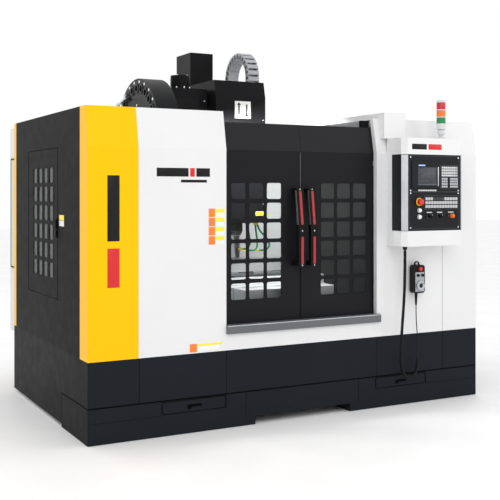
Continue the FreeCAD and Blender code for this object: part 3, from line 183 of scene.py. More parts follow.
def cast(name, colour, zones=(), rough=0.5):
    """Painted casting with the slight unevenness of filler and primer under the paint."""
    mat, tree, shader, place = fresh(name)
    lumps = noise(tree, place, 45.0, 5.0)
    stain = noise(tree, place, 4.0, 5.0)
    dark = tuple(c * 0.78 for c in colour[:3]) + (1.0,)
    base = mix(tree, remap(tree, stain, 0.0, 1.0), dark, colour)
    for limits, other in zones:
        base = mix(tree, zone(tree, place, limits), base, other)
    tree.links.new(base, shader.inputs["Base Color"])
    tree.links.new(remap(tree, stain, rough - 0.1, rough + 0.1), shader.inputs["Roughness"])
    relief(tree, shader, lumps, 0.35, 0.0015, 0.003)
    return mat


def clear(name, tint, rough=0.03, share=0.85, body=(0.01, 0.011, 0.012, 1.0)):
    """Clear sheet that light and sight pass straight through, with a reflecting surface."""
    mat, tree, shader, place = fresh(name)
    smear = noise(tree, place, 9.0, 5.0)
    tree.links.new(remap(tree, smear, rough, rough + 0.08), shader.inputs["Roughness"])
    shader.inputs["Base Color"].default_value = body
    shader.inputs["Specular IOR Level"].default_value = 0.2
    through = tree.nodes.new("ShaderNodeBsdfTransparent")
    through.inputs["Color"].default_value = tint
    both = tree.nodes.new("ShaderNodeMixShader")
    both.inputs[0].default_value = share
    tree.links.new(shader.outputs[0], both.inputs[1])
    tree.links.new(through.outputs[0], both.inputs[2])
    tree.links.new(both.outputs[0], tree.nodes["Material Output"].inputs["Surface"])
    return mat


def glowing(name, colour, strength, rough=0.25, ribs=0.0, zones=(), haze=0.06):
    """Moulded lens with ribs and a faint glow."""
    mat, tree, shader, place = fresh(name)
    base = mix(tree, remap(tree, noise(tree, place, 60.0), 0.0, haze), colour, (1.0, 1.0, 1.0, 1.0))
    for limits, other in zones:
        base = mix(tree, zone(tree, place, limits), base, other)
    tree.links.new(base, shader.inputs["Base Color"])
    tree.links.new(base, shader.inputs["Emission Color"])
    shader.inputs["Emission Strength"].default_value = strength
    shader.inputs["Roughness"].default_value = rough
    wave = tree.nodes.new("ShaderNodeTexWave")
    wave.bands_direction = "Z"
    wave.inputs["Scale"].default_value = 40.0
    tree.links.new(place, wave.inputs["Vector"])
    relief(tree, shader, wave.outputs["Fac"], ribs, 0.001, 0.001)
    return mat


BLACK = linear(22, 22, 24)
CHARCOAL = linear(24, 24, 27)
SIDE = linear(22, 22, 23)
NAVY = linear(30, 33, 39)
YELLOW = linear(255, 190, 0)
WHITE = linear(222, 222, 223)
RED = linear(160, 14, 28)

white = painted("white_paint", WHITE, 0.34, 0.12, coat=0.25, dirt=0.02)
yellow = painted("yellow_paint", YELLOW, 0.36, 0.12, dirt=0.015, gloss=0.12)
navy = painted("navy_paint_with_painted_side_shade", NAVY, 0.46, 0.45, dirt=0.04, gloss=0.05, zones=[
    # painted shade: the left side faces of the tank, drawers and skirts are painted near-black to stand in for
    # the shade on that side
    ([("X", "below", -1.3985)], linear(12, 12, 13)),
])
side_paint = painted("side_texture_paint", SIDE, 0.5, 0.45, dirt=0.02, gloss=0.04)
black_paint = painted("black_cover_paint", BLACK, 0.42, 0.25, dirt=0.04, gloss=0.08)
door_paint = painted("door_paint", CHARCOAL, 0.42, 0.3, dirt=0.04, gloss=0.12, zones=[
    # painted light: the slanted door tops above the bend are painted lighter, standing in for the light the
    # upward-tilted face catches
    ([("Z", "above", 1.6615)], linear(35, 35, 37)),
    ([("Y", "below", -0.9404), ("Z", "below", 1.44)], linear(14, 14, 15)),
])
inner = painted("inner_wall_paint", linear(238, 240, 240), 0.4, 0.15, dirt=0.03, zones=[
    # painted shade: the right inner wall is painted near-black, standing in for the shade on that side of the
    # chamber; the left and back walls stay white
    ([("X", "above", 0.9845)], linear(9, 9, 11)),
    ([("Z", "below", 0.499)], linear(150, 152, 154)),
])
grey_box = painted("cabinet_paint", linear(214, 216, 219), 0.42, 0.25, dirt=0.03, zones=[
    ([("X", "below", -1.3121)], linear(206, 204, 194)),
    ([("Y", "above", 0.67), ("Y", "below", 1.13), ("X", "above", -1.30), ("X", "below", -0.47),
      ("Z", "below", 1.88)], linear(196, 188, 160)),
])
console_paint = painted("console_paint", linear(24, 25, 28), 0.42, 0.3, dirt=0.05, gloss=0.15, zones=[
    ([("Y", "below", -1.1635), ("X", "below", 0.79), ("Z", "below", 1.38), ("Z", "above", 1.31)],
     linear(244, 196, 18)),
])
pendant_paint = painted("pendant_plastic", linear(15, 15, 16), 0.5, 0.4, dirt=0.08, gloss=0.2, zones=[
    ([("Y", "below", -1.0451)], linear(168, 170, 173)),
])
screen = painted("screen_glass", linear(26, 29, 33), 0.2, 0.0, dirt=0.05, gloss=0.2)
key_paint = painted("key_plastic", linear(178, 180, 183), 0.5, 0.3, dirt=0.05, zones=[
    ([("Z", "below", 1.376)], linear(186, 188, 190)),
    ([("Z", "below", 1.376), ("Z", "above", 1.349), ("X", "above", 0.87), ("X", "below", 0.965)],
     linear(52, 54, 58)),
    ([("Z", "above", 1.405), ("Z", "below", 1.43)], linear(205, 206, 208)),
    ([("Z", "above", 1.50), ("X", "below", 1.062)], linear(208, 209, 210)),
])
knob_black = painted("knob_plastic", linear(14, 14, 15), 0.45, 0.3, dirt=0.1, gloss=0.2)
red_plastic = painted("red_plastic", linear(206, 28, 24), 0.28, 0.15, coat=0.4, dirt=0.04)
orange_plastic = painted("orange_plastic", linear(226, 104, 24), 0.35, 0.15, coat=0.2, dirt=0.04)
chain_plastic = painted("chain_plastic", linear(166, 167, 172), 0.5, 0.3, dirt=0.07)
hose_green = painted("hose_green", linear(10, 128, 76), 0.42, 0.2, dirt=0.08, zones=[
    ([("Z", "above", 1.1715)], linear(238, 206, 40)),
    ([("Z", "above", 1.1975)], linear(28, 29, 31)),
    ([("Z", "below", 1.01), ("X", "below", 0.097)], linear(238, 206, 40)),
    ([("Z", "below", 1.01), ("X", "below", 0.197), ("X", "above", 0.14), ("Y", "above", -0.045),
      ("Y", "below", -0.02)], linear(238, 206, 40)),
])
drum_paint = painted("drum_paint", linear(20, 21, 23), 0.4, 0.25, dirt=0.06, gloss=0.15, zones=[
    ([("X", "below", -0.7003)], linear(38, 39, 42)),
])
tower_plastic = painted("tower_plastic", linear(205, 207, 208), 0.45, 0.2, dirt=0.04)
rubber = painted("cord_rubber", linear(20, 20, 22), 0.55, 0.3, dirt=0.1, gloss=0.2)
gasket = painted("gasket_rubber", linear(10, 10, 11), 0.6, 0.3, dirt=0.1, gloss=0.1)
vinyl_dark = painted("dark_vinyl", linear(20, 20, 22), 0.35, 0.1, dirt=0.03, edge=0, gloss=0.2)
vinyl_red = painted("red_vinyl", linear(208, 22, 24), 0.35, 0.1, dirt=0.03, edge=0)
vinyl_orange = painted("orange_vinyl", linear(238, 124, 32), 0.4, 0.1, dirt=0.03, edge=0)
vinyl_yellow = painted("yellow_vinyl", linear(246, 228, 60), 0.4, 0.1, dirt=0.03, edge=0)
vinyl_white = painted("white_vinyl", linear(232, 232, 228), 0.4, 0.1, dirt=0.03, edge=0)
groove = painted("groove_shadow", linear(6, 6, 7), 0.8, 0.1, dirt=0.05, edge=0, gloss=0.05)
silver = painted("sill_satin_grey", linear(98, 100, 102), 0.36, 0.2, dirt=0.05, gloss=0.3)
strip_metal = metal("corner_strip_metal", linear(206, 208, 212), 0.3, (60.0, 60.0, 1.0))
steel = metal("ground_steel", linear(190, 192, 196), 0.25, (30.0, 1.0, 30.0))
iron = metal("table_iron", linear(188, 190, 190), 0.4, (1.0, 35.0, 35.0), bare=0.45)
dull_steel = metal("way_cover_steel", linear(224, 226, 228), 0.38, (30.0, 1.0, 30.0), bare=0.35)
chrome = metal("screw_chrome", linear(214, 216, 220), 0.18, (20.0, 20.0, 20.0), scratch=0.1)
bed_paint = cast("bed_casting_paint", linear(96, 100, 106))
column_paint = cast("column_casting_paint", linear(222, 224, 226))
head_paint = cast("head_casting_paint", linear(30, 31, 33))
saddle_paint = cast("saddle_casting_paint", linear(214, 217, 219))
glazing = clear("window_sheet", (0.985, 0.99, 0.985, 1.0))
side_glazing = clear("side_window_sheet", (0.9, 0.92, 0.92, 1.0), 0.12, 0.45, (0.13, 0.135, 0.14, 1.0))
lens = glowing("tower_lens", linear(176, 14, 34), 0.06, ribs=0.5, zones=[
    ([("Z", "below", 1.953)], linear(228, 112, 16)), ([("Z", "below", 1.905)], linear(8, 122, 66))])

LOOK = {
    "bed_casting": bed_paint, "levelling_feet": steel, "column_casting": column_paint, "guide_rails": steel,
    "z_motor_cover": black_paint, "saddle": saddle_paint, "table": iron, "way_cover_front": dull_steel,
    "way_cover_middle": dull_steel, "way_cover_fixed": dull_steel, "head_casting": head_paint,
    "head_cover": black_paint, "spindle": steel, "coolant_nozzles": hose_green, "drag_chain": chain_plastic,
    "changer_frame": black_paint, "magazine_drum": drum_paint, "change_arm": steel, "coolant_tank": navy,
    "chip_drawer_left": navy, "chip_drawer_right": navy, "skirts": navy, "left_corner_cover": yellow,
    "left_front_cover": white, "right_front_cover": white, "side_panels": side_paint, "rear_posts": yellow,
    "roof_panels": white, "inner_walls": inner, "enclosure_frame": white, "apron": white, "sill": silver,
    "left_door": door_paint, "left_door_glass": glazing, "right_door": door_paint,
    "right_door_glass": glazing, "side_door": side_paint, "side_door_glass": side_glazing,
    "electrical_cabinet": grey_box, "cabinet_door": grey_box, "console_frame": white,
    "console_box": console_paint, "lcd_screen": screen, "console_keys": key_paint,
    "emergency_stop": red_plastic, "start_button": tower_plastic, "hold_button": tower_plastic,
    "feed_knob": knob_black, "speed_knob": knob_black, "mode_knob": orange_plastic,
    "tower_post": tower_plastic, "tower_lenses": lens, "pendant_body": pendant_paint,
    "pendant_stop": red_plastic, "axis_selector": knob_black, "step_selector": knob_black,
    "pendant_dial": steel, "cord_gland": knob_black, "pendant_cord": rubber, "pendant_tail": rubber,
}
for name, look in LOOK.items():
    node = nodes[name]
    if not node.material_slots:
        node.data.materials.append(look)
    for place in node.material_slots:
        place.material = look


# ------------------------------------------------------------ piece builders
def finish_piece(name, mesh_builder, look, body, smooth=True):
    """Turns a bmesh into a piece that rides on a body."""
    mesh = bpy.data.meshes.new(name)
    mesh_builder.normal_update()
    mesh_builder.to_mesh(mesh)
    mesh_builder.free()
    piece = bpy.data.objects.new(name, mesh)
    bpy.context.scene.collection.objects.link(piece)
    mesh.materials.append(look)
    if smooth:
        for face in mesh.polygons:
            face.use_smooth = True
        mesh.set_sharp_from_angle(angle=math.radians(35))
    if body:
        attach(piece, body)
    return piece


def add_block(build, low, high, radius=0.0, turn=None, steps=2):
    """A box with rounded edges inside a bmesh; turn is a 4x4 applied last."""
    centre = [(a + b) / 2 for a, b in zip(low, high)]
    size = [b - a for a, b in zip(low, high)]
    made = bmesh.ops.create_cube(build, size=1.0)
    verts = made["verts"]
    for v in verts:
        v.co = Vector([v.co[i] * size[i] + centre[i] for i in range(3)])
    edges = list({e for v in verts for e in v.link_edges})
    if radius:
        radius = min(radius, min(size) * 0.45)
        cut = bmesh.ops.bevel(build, geom=edges, offset=radius, segments=steps, affect="EDGES", profile=0.5)
        verts = list({v for f in cut["faces"] for v in f.verts} | {v for v in verts if v.is_valid})
    if turn is not None:
        bmesh.ops.transform(build, matrix=turn, verts=[v for v in verts if v.is_valid])


def blocks(name, boxes, look, body, radius=0.001, steps=2):
    """Boxes with rounded edges, as one piece."""
    build = bmesh.new()
    for low, high in boxes:
        add_block(build, low, high, radius, steps=steps)
    return finish_piece(name, build, look, body)


def add_lathe(build, centre, axis, profile, count=32, first=0.0):
    """A turned form; profile is (radius, distance along axis) from the start to the end."""
    spin = {"X": Matrix.Rotation(math.pi / 2, 4, "Y"), "Y": Matrix.Rotation(-math.pi / 2, 4, "X"),
            "Z": Matrix.Identity(4)}[axis]
    place = Matrix.Translation(Vector(centre)) @ spin
    rings = []
    for radius, height in profile:
        ring = []
        for i in range(count):
            angle = first + 2 * math.pi * i / count
            ring.append(build.verts.new(place @ Vector((radius * math.cos(angle), radius * math.sin(angle),
                                                        height))))
        rings.append(ring)
    for lower, upper in zip(rings, rings[1:]):
        for i in range(count):
            j = (i + 1) % count
            build.faces.new((lower[i], lower[j], upper[j], upper[i]))
    build.faces.new(list(reversed(rings[0])))
    build.faces.new(rings[-1])


def turned(name, spots, axis, profile, count, look, body):
    """One turned form repeated at each spot, as one piece."""
    build = bmesh.new()
    for spot in spots:
        add_lathe(build, spot, axis, profile, count)
    return finish_piece(name, build, look, body)


def around(centre, radius, count, offset=0.0):
    """Points on a circle: centre and result are pairs; offset is a share of one step."""
    angles = [2 * math.pi * (k + offset) / count for k in range(count)]
    return [(centre[0] + radius * math.cos(a), centre[1] + radius * math.sin(a)) for a in angles]


def screws(name, spots, axis, radius, proud, body):
    """Cap screws with a round socket, heads standing toward the negative side of the axis."""
    profile = [(radius * 0.45, -proud * 0.45), (radius * 0.5, -proud * 0.95), (radius * 0.86, -proud),
               (radius, -proud * 0.8), (radius, 0.0)]
    return turned(name, spots, axis, profile, 14, chrome, body)


def add_ring(build, across, up, offset, centre, wide, high, corner, band, thick):
    """A flat rounded frame: across and up are axis indexes, offset the third axis' place."""
    third = 3 - across - up
    outline = []
    for sx, sy, start in ((1, 1, 0), (-1, 1, 90), (-1, -1, 180), (1, -1, 270)):
        for k in range(5):
            angle = math.radians(start + 22.5 * k)
            outline.append((sx * (wide / 2 - corner), sy * (high / 2 - corner), math.cos(angle),
                            math.sin(angle)))
    layers = []
    for grow, level in ((0.0, 0.0), (0.0, thick), (band, thick), (band, 0.0)):
        ring = []
        for x, y, c, s in outline:
            point = [0.0, 0.0, 0.0]
            point[across] = centre[0] + x + c * (corner + grow)
            point[up] = centre[1] + y + s * (corner + grow)
            point[third] = offset + level
            ring.append(build.verts.new(point))
        layers.append(ring)
    count = len(outline)
    for a, b in zip(layers, layers[1:] + layers[:1]):
        for i in range(count):
            j = (i + 1) % count
            build.faces.new((a[i], a[j], b[j], b[i]))


def add_prism(build, points, x_low, x_high, axis=0):
    """A polygon of the other two axes, extruded along one axis."""
    others = [i for i in range(3) if i != axis]
    rings = []
    for level in (x_low, x_high):
        ring = []
        for a, b in points:
            point = [0.0, 0.0, 0.0]
            point[axis] = level
            point[others[0]] = a
            point[others[1]] = b
            ring.append(build.verts.new(point))
        rings.append(ring)
    count = len(points)
    for i in range(count):
        j = (i + 1) % count
        build.faces.new((rings[0][i], rings[0][j], rings[1][j], rings[1][i]))
    build.faces.new(list(reversed(rings[0])))
    build.faces.new(rings[1])


def prism(name, points, low, high, look, body, axis=0):
    """One extruded polygon with flat faces, as one piece."""
    build = bmesh.new()
    add_prism(build, points, low, high, axis)
    return finish_piece(name, build, look, body, False)


def bevelled(piece, width, steps=2):
    """Rounds a piece's hard edges."""
    modifier = piece.modifiers.new("edges", "BEVEL")
    modifier.width = width
    modifier.segments = steps
    modifier.limit_method = "ANGLE"
    return piece


# ------------------------------------------------------------ camera, floor and light
camera_data = bpy.data.cameras.new("camera")
camera_data.sensor_width = 36.0
camera_data.lens = 65.9
camera_data.shift_y = -0.1148
camera_data.clip_end = 100.0
camera = bpy.data.objects.new("camera", camera_data)
camera.location = (-2.9984, -5.853, 1.4029)
camera.rotation_euler = (math.radians(90), 0.0, math.radians(-28.22))
bpy.context.scene.collection.objects.link(camera)
bpy.context.scene.camera = camera

floor_mesh = bpy.data.meshes.new("floor")
floor_mesh.from_pydata([(-30, -30, -0.002), (30, -30, -0.002), (30, 30, -0.002), (-30, 30, -0.002)], [],
                       [(0, 1, 2, 3)])
floor = bpy.data.objects.new("floor", floor_mesh)
floor_mat, floor_tree, floor_shader, floor_place = fresh("floor_pale")
floor_tree.links.new(mix(floor_tree, remap(floor_tree, noise(floor_tree, floor_place, 2.0), 0.0, 1.0),
                         linear(244, 244, 244), linear(250, 250, 250)), floor_shader.inputs["Base Color"])
floor_shader.inputs["Roughness"].default_value = 0.6
floor_mesh.materials.append(floor_mat)
bpy.context.scene.collection.objects.link(floor)

world = bpy.data.worlds.new("studio")
world.use_nodes = True
world.node_tree.nodes["Background"].inputs["Color"].default_value = (1.0, 1.0, 1.0, 1.0)
world.node_tree.nodes["Background"].inputs["Strength"].default_value = 1.0
bpy.context.scene.world = world


def area(name, place, target, size, power, size_y=None):
    """Rectangular soft light at a place, turned to a target; sizes in metres, power in watts."""
    data = bpy.data.lights.new(name, "AREA")
    data.energy = power
    data.shape = "RECTANGLE"
    data.size = size
    data.size_y = size_y or size
    lamp = bpy.data.objects.new(name, data)
    lamp.location = place
    lamp.rotation_euler = (Vector(target) - Vector(place)).to_track_quat("-Z", "Y").to_euler()
    bpy.context.scene.collection.objects.link(lamp)
    return lamp


area("key", (-1.5, -7.0, 5.2), (0, 0, 1.0), 4.0, 110)
area("fill", (5.0, -5.0, 3.0), (0, 0, 1.2), 3.0, 30)
area("left", (-7.0, 0.5, 3.2), (0, 0, 1.2), 3.0, 15)
area("top", (0.0, 0.5, 7.0), (0, 0, 0), 4.0, 30)
area("back_left", (-3.4, 6.0, 4.4), (-1.4, 0, 1.9), 2.0, 30)
area("chamber_front", (-0.1, -0.45, 1.84), (0.1, 0.0, 0.9), 0.9, 34, 0.25)
area("chamber_right", (0.75, -0.1, 1.84), (0.55, 0.4, 1.0), 0.35, 5, 0.9)

# ------------------------------------------------------------ curly cord and its straight tail
MM = 0.001
CURLY = [
    (708, -1080, 1029), (708, -1080, 870), (702, -1078, 700), (691, -1073, 540), (684, -1069, 400),
    (690, -1062, 275), (722, -1053, 205), (770, -1045, 187), (820, -1036, 200), (847, -1030, 238),
    (847, -1030, 291), (847, -1030, 370), (852, -1026, 465), (846, -1020, 565), (846, -1020, 657),
]
COIL_END = 0.745
WIRE = 0.0066
COIL_RADIUS = 0.0076
PITCH = 0.0074
TURN_POINTS = 12
TAIL_LEAD = 0.02
TAIL_STEP = 0.025


def nurbs(name, points):
    """An open spline of order 3 through which the points pull like weights."""
    data = bpy.data.curves.new(name, "CURVE")
    data.dimensions = "3D"
    spline = data.splines.new("NURBS")
    spline.points.add(len(points) - 1)
    for spot, point in zip(spline.points, points):
        spot.co = (point[0], point[1], point[2], 1.0)
    spline.order_u = 3
    spline.use_endpoint_u = True
    spline.resolution_u = 12
    thing = bpy.data.objects.new(name, data)
    bpy.context.scene.collection.objects.link(thing)
    return thing


def polyline(thing):
    """Points of a curve's own line, in order."""
    mesh = bpy.data.meshes.new_from_object(thing)
    points = [v.co.copy() for v in mesh.vertices]
    bpy.data.meshes.remove(mesh)
    return points


route = nurbs("cord_route", [(x * MM, y * MM, z * MM) for x, y, z in CURLY])
line = polyline(route)
bpy.data.objects.remove(route)
lengths = [0.0]
for a, b in zip(line, line[1:]):
    lengths.append(lengths[-1] + (b - a).length)


def at(distance):
    """Point and direction at a distance along the route."""
    for i in range(1, len(line)):
        if lengths[i] >= distance or i == len(line) - 1:
            share = (distance - lengths[i - 1]) / max(1e-9, lengths[i] - lengths[i - 1])
            return line[i - 1].lerp(line[i], share), (line[i] - line[i - 1]).normalized()


total = lengths[-1]
coil_start = 0.003
coil_stop = total * COIL_END
helix = [at(0.0)[0], at(coil_start / 2)[0]]
side_way = Vector((1, 0, 0))
turns = (coil_stop - coil_start) / PITCH
count = int(turns * TURN_POINTS)
for i in range(count + 1):
    share = i / count
    distance = coil_start + (coil_stop - coil_start) * share
    spot, way = at(distance)
    side_way = (side_way - way * side_way.dot(way)).normalized()
    other = way.cross(side_way)
    angle = 2 * math.pi * turns * share
    grow = min(1.0, i / 3.0, (count - i) / TURN_POINTS)
    swing = COIL_RADIUS * max(0.0, grow)
    helix.append(spot + (side_way * math.cos(angle) + other * math.sin(angle)) * swing)
distance = coil_stop + TAIL_LEAD
while distance < total - 0.01:
    helix.append(at(distance)[0])
    distance += TAIL_STEP
helix.append(line[-1])
cord = nurbs("curly_cord", helix)
cord.data.bevel_depth = WIRE / 2
cord.data.bevel_resolution = 2
cord.data.splines[0].resolution_u = 1
cord.data.materials.append(rubber)
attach(cord, "machine")
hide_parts("pendant_cord", "pendant_tail")
bare = nurbs("cord_measure", helix)
bare.data.splines[0].resolution_u = 1
bare_line = polyline(bare)
bpy.data.objects.remove(bare)

# ------------------------------------------------------------ front covers: seams, bars and plates
front = -0.980
skin = 0.0009
blocks("skirt_seams", [
    ((x - 0.0012, front - skin, 0.206), (x + 0.0012, front, 0.460)) for x in (-1.096, -0.543, 0.556, 1.103)
] + [((-1.399, front - skin, 0.1995), (1.399, front, 0.2075))], groove, "machine", 0.0)
blocks("tank_seams", [
    ((x - 0.001, front - skin, 0.052), (x + 0.001, front, 0.199)) for x in (-0.410, 0.410)
] + [((-1.399, front - skin, 0.118), (-0.963, front, 0.1195)),
     ((0.963, front - skin, 0.118), (1.399, front, 0.1195))],
    groove, "machine", 0.0)
blocks("right_cover_seam", [((1.102, front - skin, 0.464), (1.1042, front, 1.054))],
       painted("seam_grey", linear(150, 150, 152), 0.6, 0.1), "machine", 0.0)
blocks("side_base_seam", [((-1.4005, -0.979, 0.1995), (-1.3995, -0.487, 0.2075)),
                          ((-1.4005, -0.487, 0.022), (-1.3995, -0.4835, 0.2075)),
                          ((1.3995, -0.979, 0.1995), (1.4005, -0.487, 0.2075)),
                          ((1.3995, -0.487, 0.022), (1.4005, -0.4835, 0.2075))], groove, "machine", 0.0)


def drawer_front(mark, left, right, body):
    """Dark recess behind the hand slot and a raised lip round the drawer front."""
    middle = (left + right) / 2
    build = bmesh.new()
    add_ring(build, 0, 2, front - 0.0016, (middle, 0.1595), right - left - 0.010, 0.066, 0.006, 0.003,
             0.0016)
    finish_piece("drawer_rim_" + mark, build, groove, body)
    blocks("drawer_slot_" + mark, [((middle - 0.045, front + 0.0032, 0.150),
                                    (middle + 0.045, front + 0.0042, 0.169)),
                                   ((middle - 0.045, front - 0.0012, 0.1405),
                                    (middle - 0.020, front, 0.1525))],
           groove, body, 0.0)


drawer_front("left", -0.957, -0.546, "left_drawer")
drawer_front("right", 0.546, 0.957, "right_drawer")

blocks("corner_bars_dark", [((-1.286, front - skin, 1.130), (-1.214, front, 1.500))], vinyl_dark,
       "machine", 0.0004)
blocks("corner_bars_red", [((-1.286, front - skin, 0.870), (-1.214, front, 1.090))], vinyl_red, "machine",
       0.0004)
blocks("cover_bar_dark", [((-0.990, front - skin, 1.496), (-0.790, front, 1.546)),
                          ((-0.740, front - skin, 1.496), (-0.652, front, 1.546))], vinyl_dark, "machine",
       0.0004)
blocks("cover_bar_red", [((-0.780, front - skin, 1.496), (-0.750, front, 1.546))], vinyl_red, "machine",
       0.0004)
blocks("cover_bar_thin", [((-0.838, front - skin, 1.462), (-0.672, front, 1.478))], vinyl_dark, "machine",
       0.0004)
orange_plates, yellow_plates, white_plates = [], [], []
for i in range(4):
    low = 1.095 + i * 0.0545
    orange_plates.append(((-0.660, front - skin, low), (-0.618, front, low + 0.050)))
    yellow_plates.append(((-0.614, front - skin, low + 0.026), (-0.556, front, low + 0.049)))
    white_plates.append(((-0.614, front - skin, low + 0.002), (-0.560, front, low + 0.023)))
orange_plates.append(((-0.782, front - skin, 0.469), (-0.736, front, 0.517)))
yellow_plates.append(((-0.730, front - skin, 0.503), (-0.570, front, 0.516)))
white_plates.append(((-0.730, front - skin, 0.472), (-0.590, front, 0.500)))
blocks("plates_orange", orange_plates, vinyl_orange, "machine", 0.0003)
blocks("plates_yellow", yellow_plates, vinyl_yellow, "machine", 0.0003)
blocks("plates_white", white_plates, vinyl_white, "machine", 0.0003)
blocks("side_plate_yellow", [((-1.4009, -0.536, 1.236), (-1.400, -0.440, 1.268))], vinyl_yellow, "machine",
       0.0003)
blocks("side_plate_white", [((-1.4009, -0.536, 1.201), (-1.400, -0.440, 1.234))], vinyl_white, "machine",
       0.0003)

# ------------------------------------------------------------ doors
HANDLE_FRONT = -1.030
HANDLE_BEND = 1.2
HANDLE_LEAN = 0.030 / 0.230
INSERT_HALF = 0.0088


def handle_y(z):
    """Front of the handle, which leans back above its bend."""
    return HANDLE_FRONT + max(0.0, z - HANDLE_BEND) * HANDLE_LEAN


def add_insert(build, low, high, x):
    """Coloured strip along one part of the handle."""
    add_prism(build, [(handle_y(low) - 0.004, low), (handle_y(high) - 0.004, high),
                      (handle_y(high) + 0.002, high + 0.002), (handle_y(low) + 0.002, low - 0.002)],
              x - INSERT_HALF, x + INSERT_HALF)


for mark, first, handle, body in (("left", -0.491, -0.043, "left_door"),
                                  ("right", 0.148, 0.045, "right_door")):
    build = bmesh.new()
    for i in range(3):
        for j in range(6):
            middle = (first + 0.0505 + 0.1235 * i, 1.413 - 0.122 * j)
            add_ring(build, 0, 2, -0.9412, middle, 0.101, 0.098, 0.012, 0.0025, 0.0012)
    finish_piece("window_seals_" + mark, build, gasket, body)
    build = bmesh.new()
    add_insert(build, 0.962, 1.129, handle)
    add_insert(build, 1.206, 1.412, handle)
    insert_red = painted("insert_red_" + mark, RED, 0.3, 0.15, coat=0.4, dirt=0.05)
    bevelled(finish_piece("handle_inserts_" + mark, build, insert_red, body, False), 0.0025, 3)
    build = bmesh.new()
    for x in (handle - 0.0262, handle + 0.0250):
        add_prism(build, [(-1.026, 1.204), (handle_y(1.418) + 0.004, 1.418),
                          (handle_y(1.418) + 0.020, 1.418), (-1.008, 1.204)], x, x + 0.0012)
    bevelled(finish_piece("handle_cheeks_" + mark, build, strip_metal, body, False), 0.0004, 1)
    screws("handle_screws_" + mark, [(handle, handle_y(z) + 0.0005, z) for z in (0.9535, 1.1665, 1.4235)],
           "Y", 0.0045, 0.002, body)

prism("door_edge_upper", [(-0.9415, 1.440), (-0.9415, 1.655), (-0.9395, 1.655), (-0.9395, 1.440)],
      -0.0045, -0.0015, silver, "left_door")
prism("door_edge_lower", [(-0.9412, 0.614), (-0.9412, 0.948), (-0.9398, 0.948), (-0.9398, 0.614)],
      -0.0075, -0.0015, gasket, "left_door")
SEAL = [(-0.9416, 0.614), (-0.9416, 1.6605), (-0.9096, 1.829), (-0.9080, 1.829), (-0.9395, 1.661),
        (-0.9395, 0.614)]
prism("door_seal_right", SEAL, 0.5455, 0.5535, gasket, "right_door")
prism("door_seal_left", SEAL, -0.5405, -0.5345, gasket, "left_door")
blocks("door_stop", [((0.481, -0.906, 1.826), (0.547, -0.884, 1.876)),
                     ((0.488, -0.906, 1.868), (0.540, -0.872, 1.876))],
       gasket, "right_door", 0.003)
blocks("sill_edge", [((-0.5425, -1.0012, 0.6045), (0.5765, -0.9995, 0.6095))], strip_metal, "machine",
       0.0005)

# ------------------------------------------------------------ left side door and cabinet
build = bmesh.new()
for i in range(4):
    for j in range(6):
        middle = (-0.305 + 0.042 + 0.122 * i, 1.5115 - 0.118 * j)
        add_ring(build, 1, 2, -1.4012, middle, 0.084, 0.095, 0.012, 0.003, 0.0012)
finish_piece("side_window_seals", build, gasket, "side_door")
build = bmesh.new()
add_ring(build, 1, 2, -1.4010, (-0.065, 1.2145), 0.677, 0.920, 0.002, 0.003, 0.0010)
finish_piece("side_door_gap", build, groove, "machine")
blocks("side_latch_lever", [((-1.4118, -0.399, 1.190), (-1.404, -0.381, 1.234)),
                            ((-1.4119, -0.396, 1.128), (-1.400, -0.384, 1.178))],
       knob_black, "side_door", 0.003)
build = bmesh.new()
add_ring(build, 1, 2, -1.3235, (0.885, 1.2495), 0.386, 0.794, 0.010, 0.010, 0.0022)
finish_piece("cabinet_gasket", build, gasket, "machine")
screws("cabinet_screws", [(-1.3228, y, z) for y in (0.686, 1.084) for z in (0.845, 1.25, 1.654)], "X",
       0.006, 0.003, "machine")
louvres = []
for i in range(9):
    z = 0.52 + 0.024 * i
    louvres.append(((-0.98, 1.1575, z), (-0.76, 1.1632, z + 0.012)))
    louvres.append(((-0.98, 1.1575, z + 1.05), (-0.76, 1.1632, z + 1.062)))
blocks("cabinet_louvres", louvres, grey_box, "cabinet_door", 0.003)
blocks("cabinet_lock", [((-1.272, 1.1580, 1.235), (-1.242, 1.1700, 1.262)),
                        ((-1.266, 1.168, 1.24), (-1.248, 1.181, 1.257))],
       knob_black, "cabinet_door", 0.003)
turned("rear_screws", [(x, 0.665, z) for x in (1.32, 0.80, 0.42) for z in (0.6, 0.9, 1.2, 1.5, 1.8)], "Y",
       [(0.007, 0.0), (0.007, 0.003), (0.004, 0.0045)], 14, chrome, "machine")
turned("roof_screws", [(x, y, 1.891) for x in (-1.36, -0.80, 0.64, 1.36)
                       for y in (-0.85, -0.45, -0.05, 0.35, 0.62)],
       "Z", [(0.008, 0.0), (0.008, 0.003), (0.005, 0.0048)], 14, chrome, "machine")

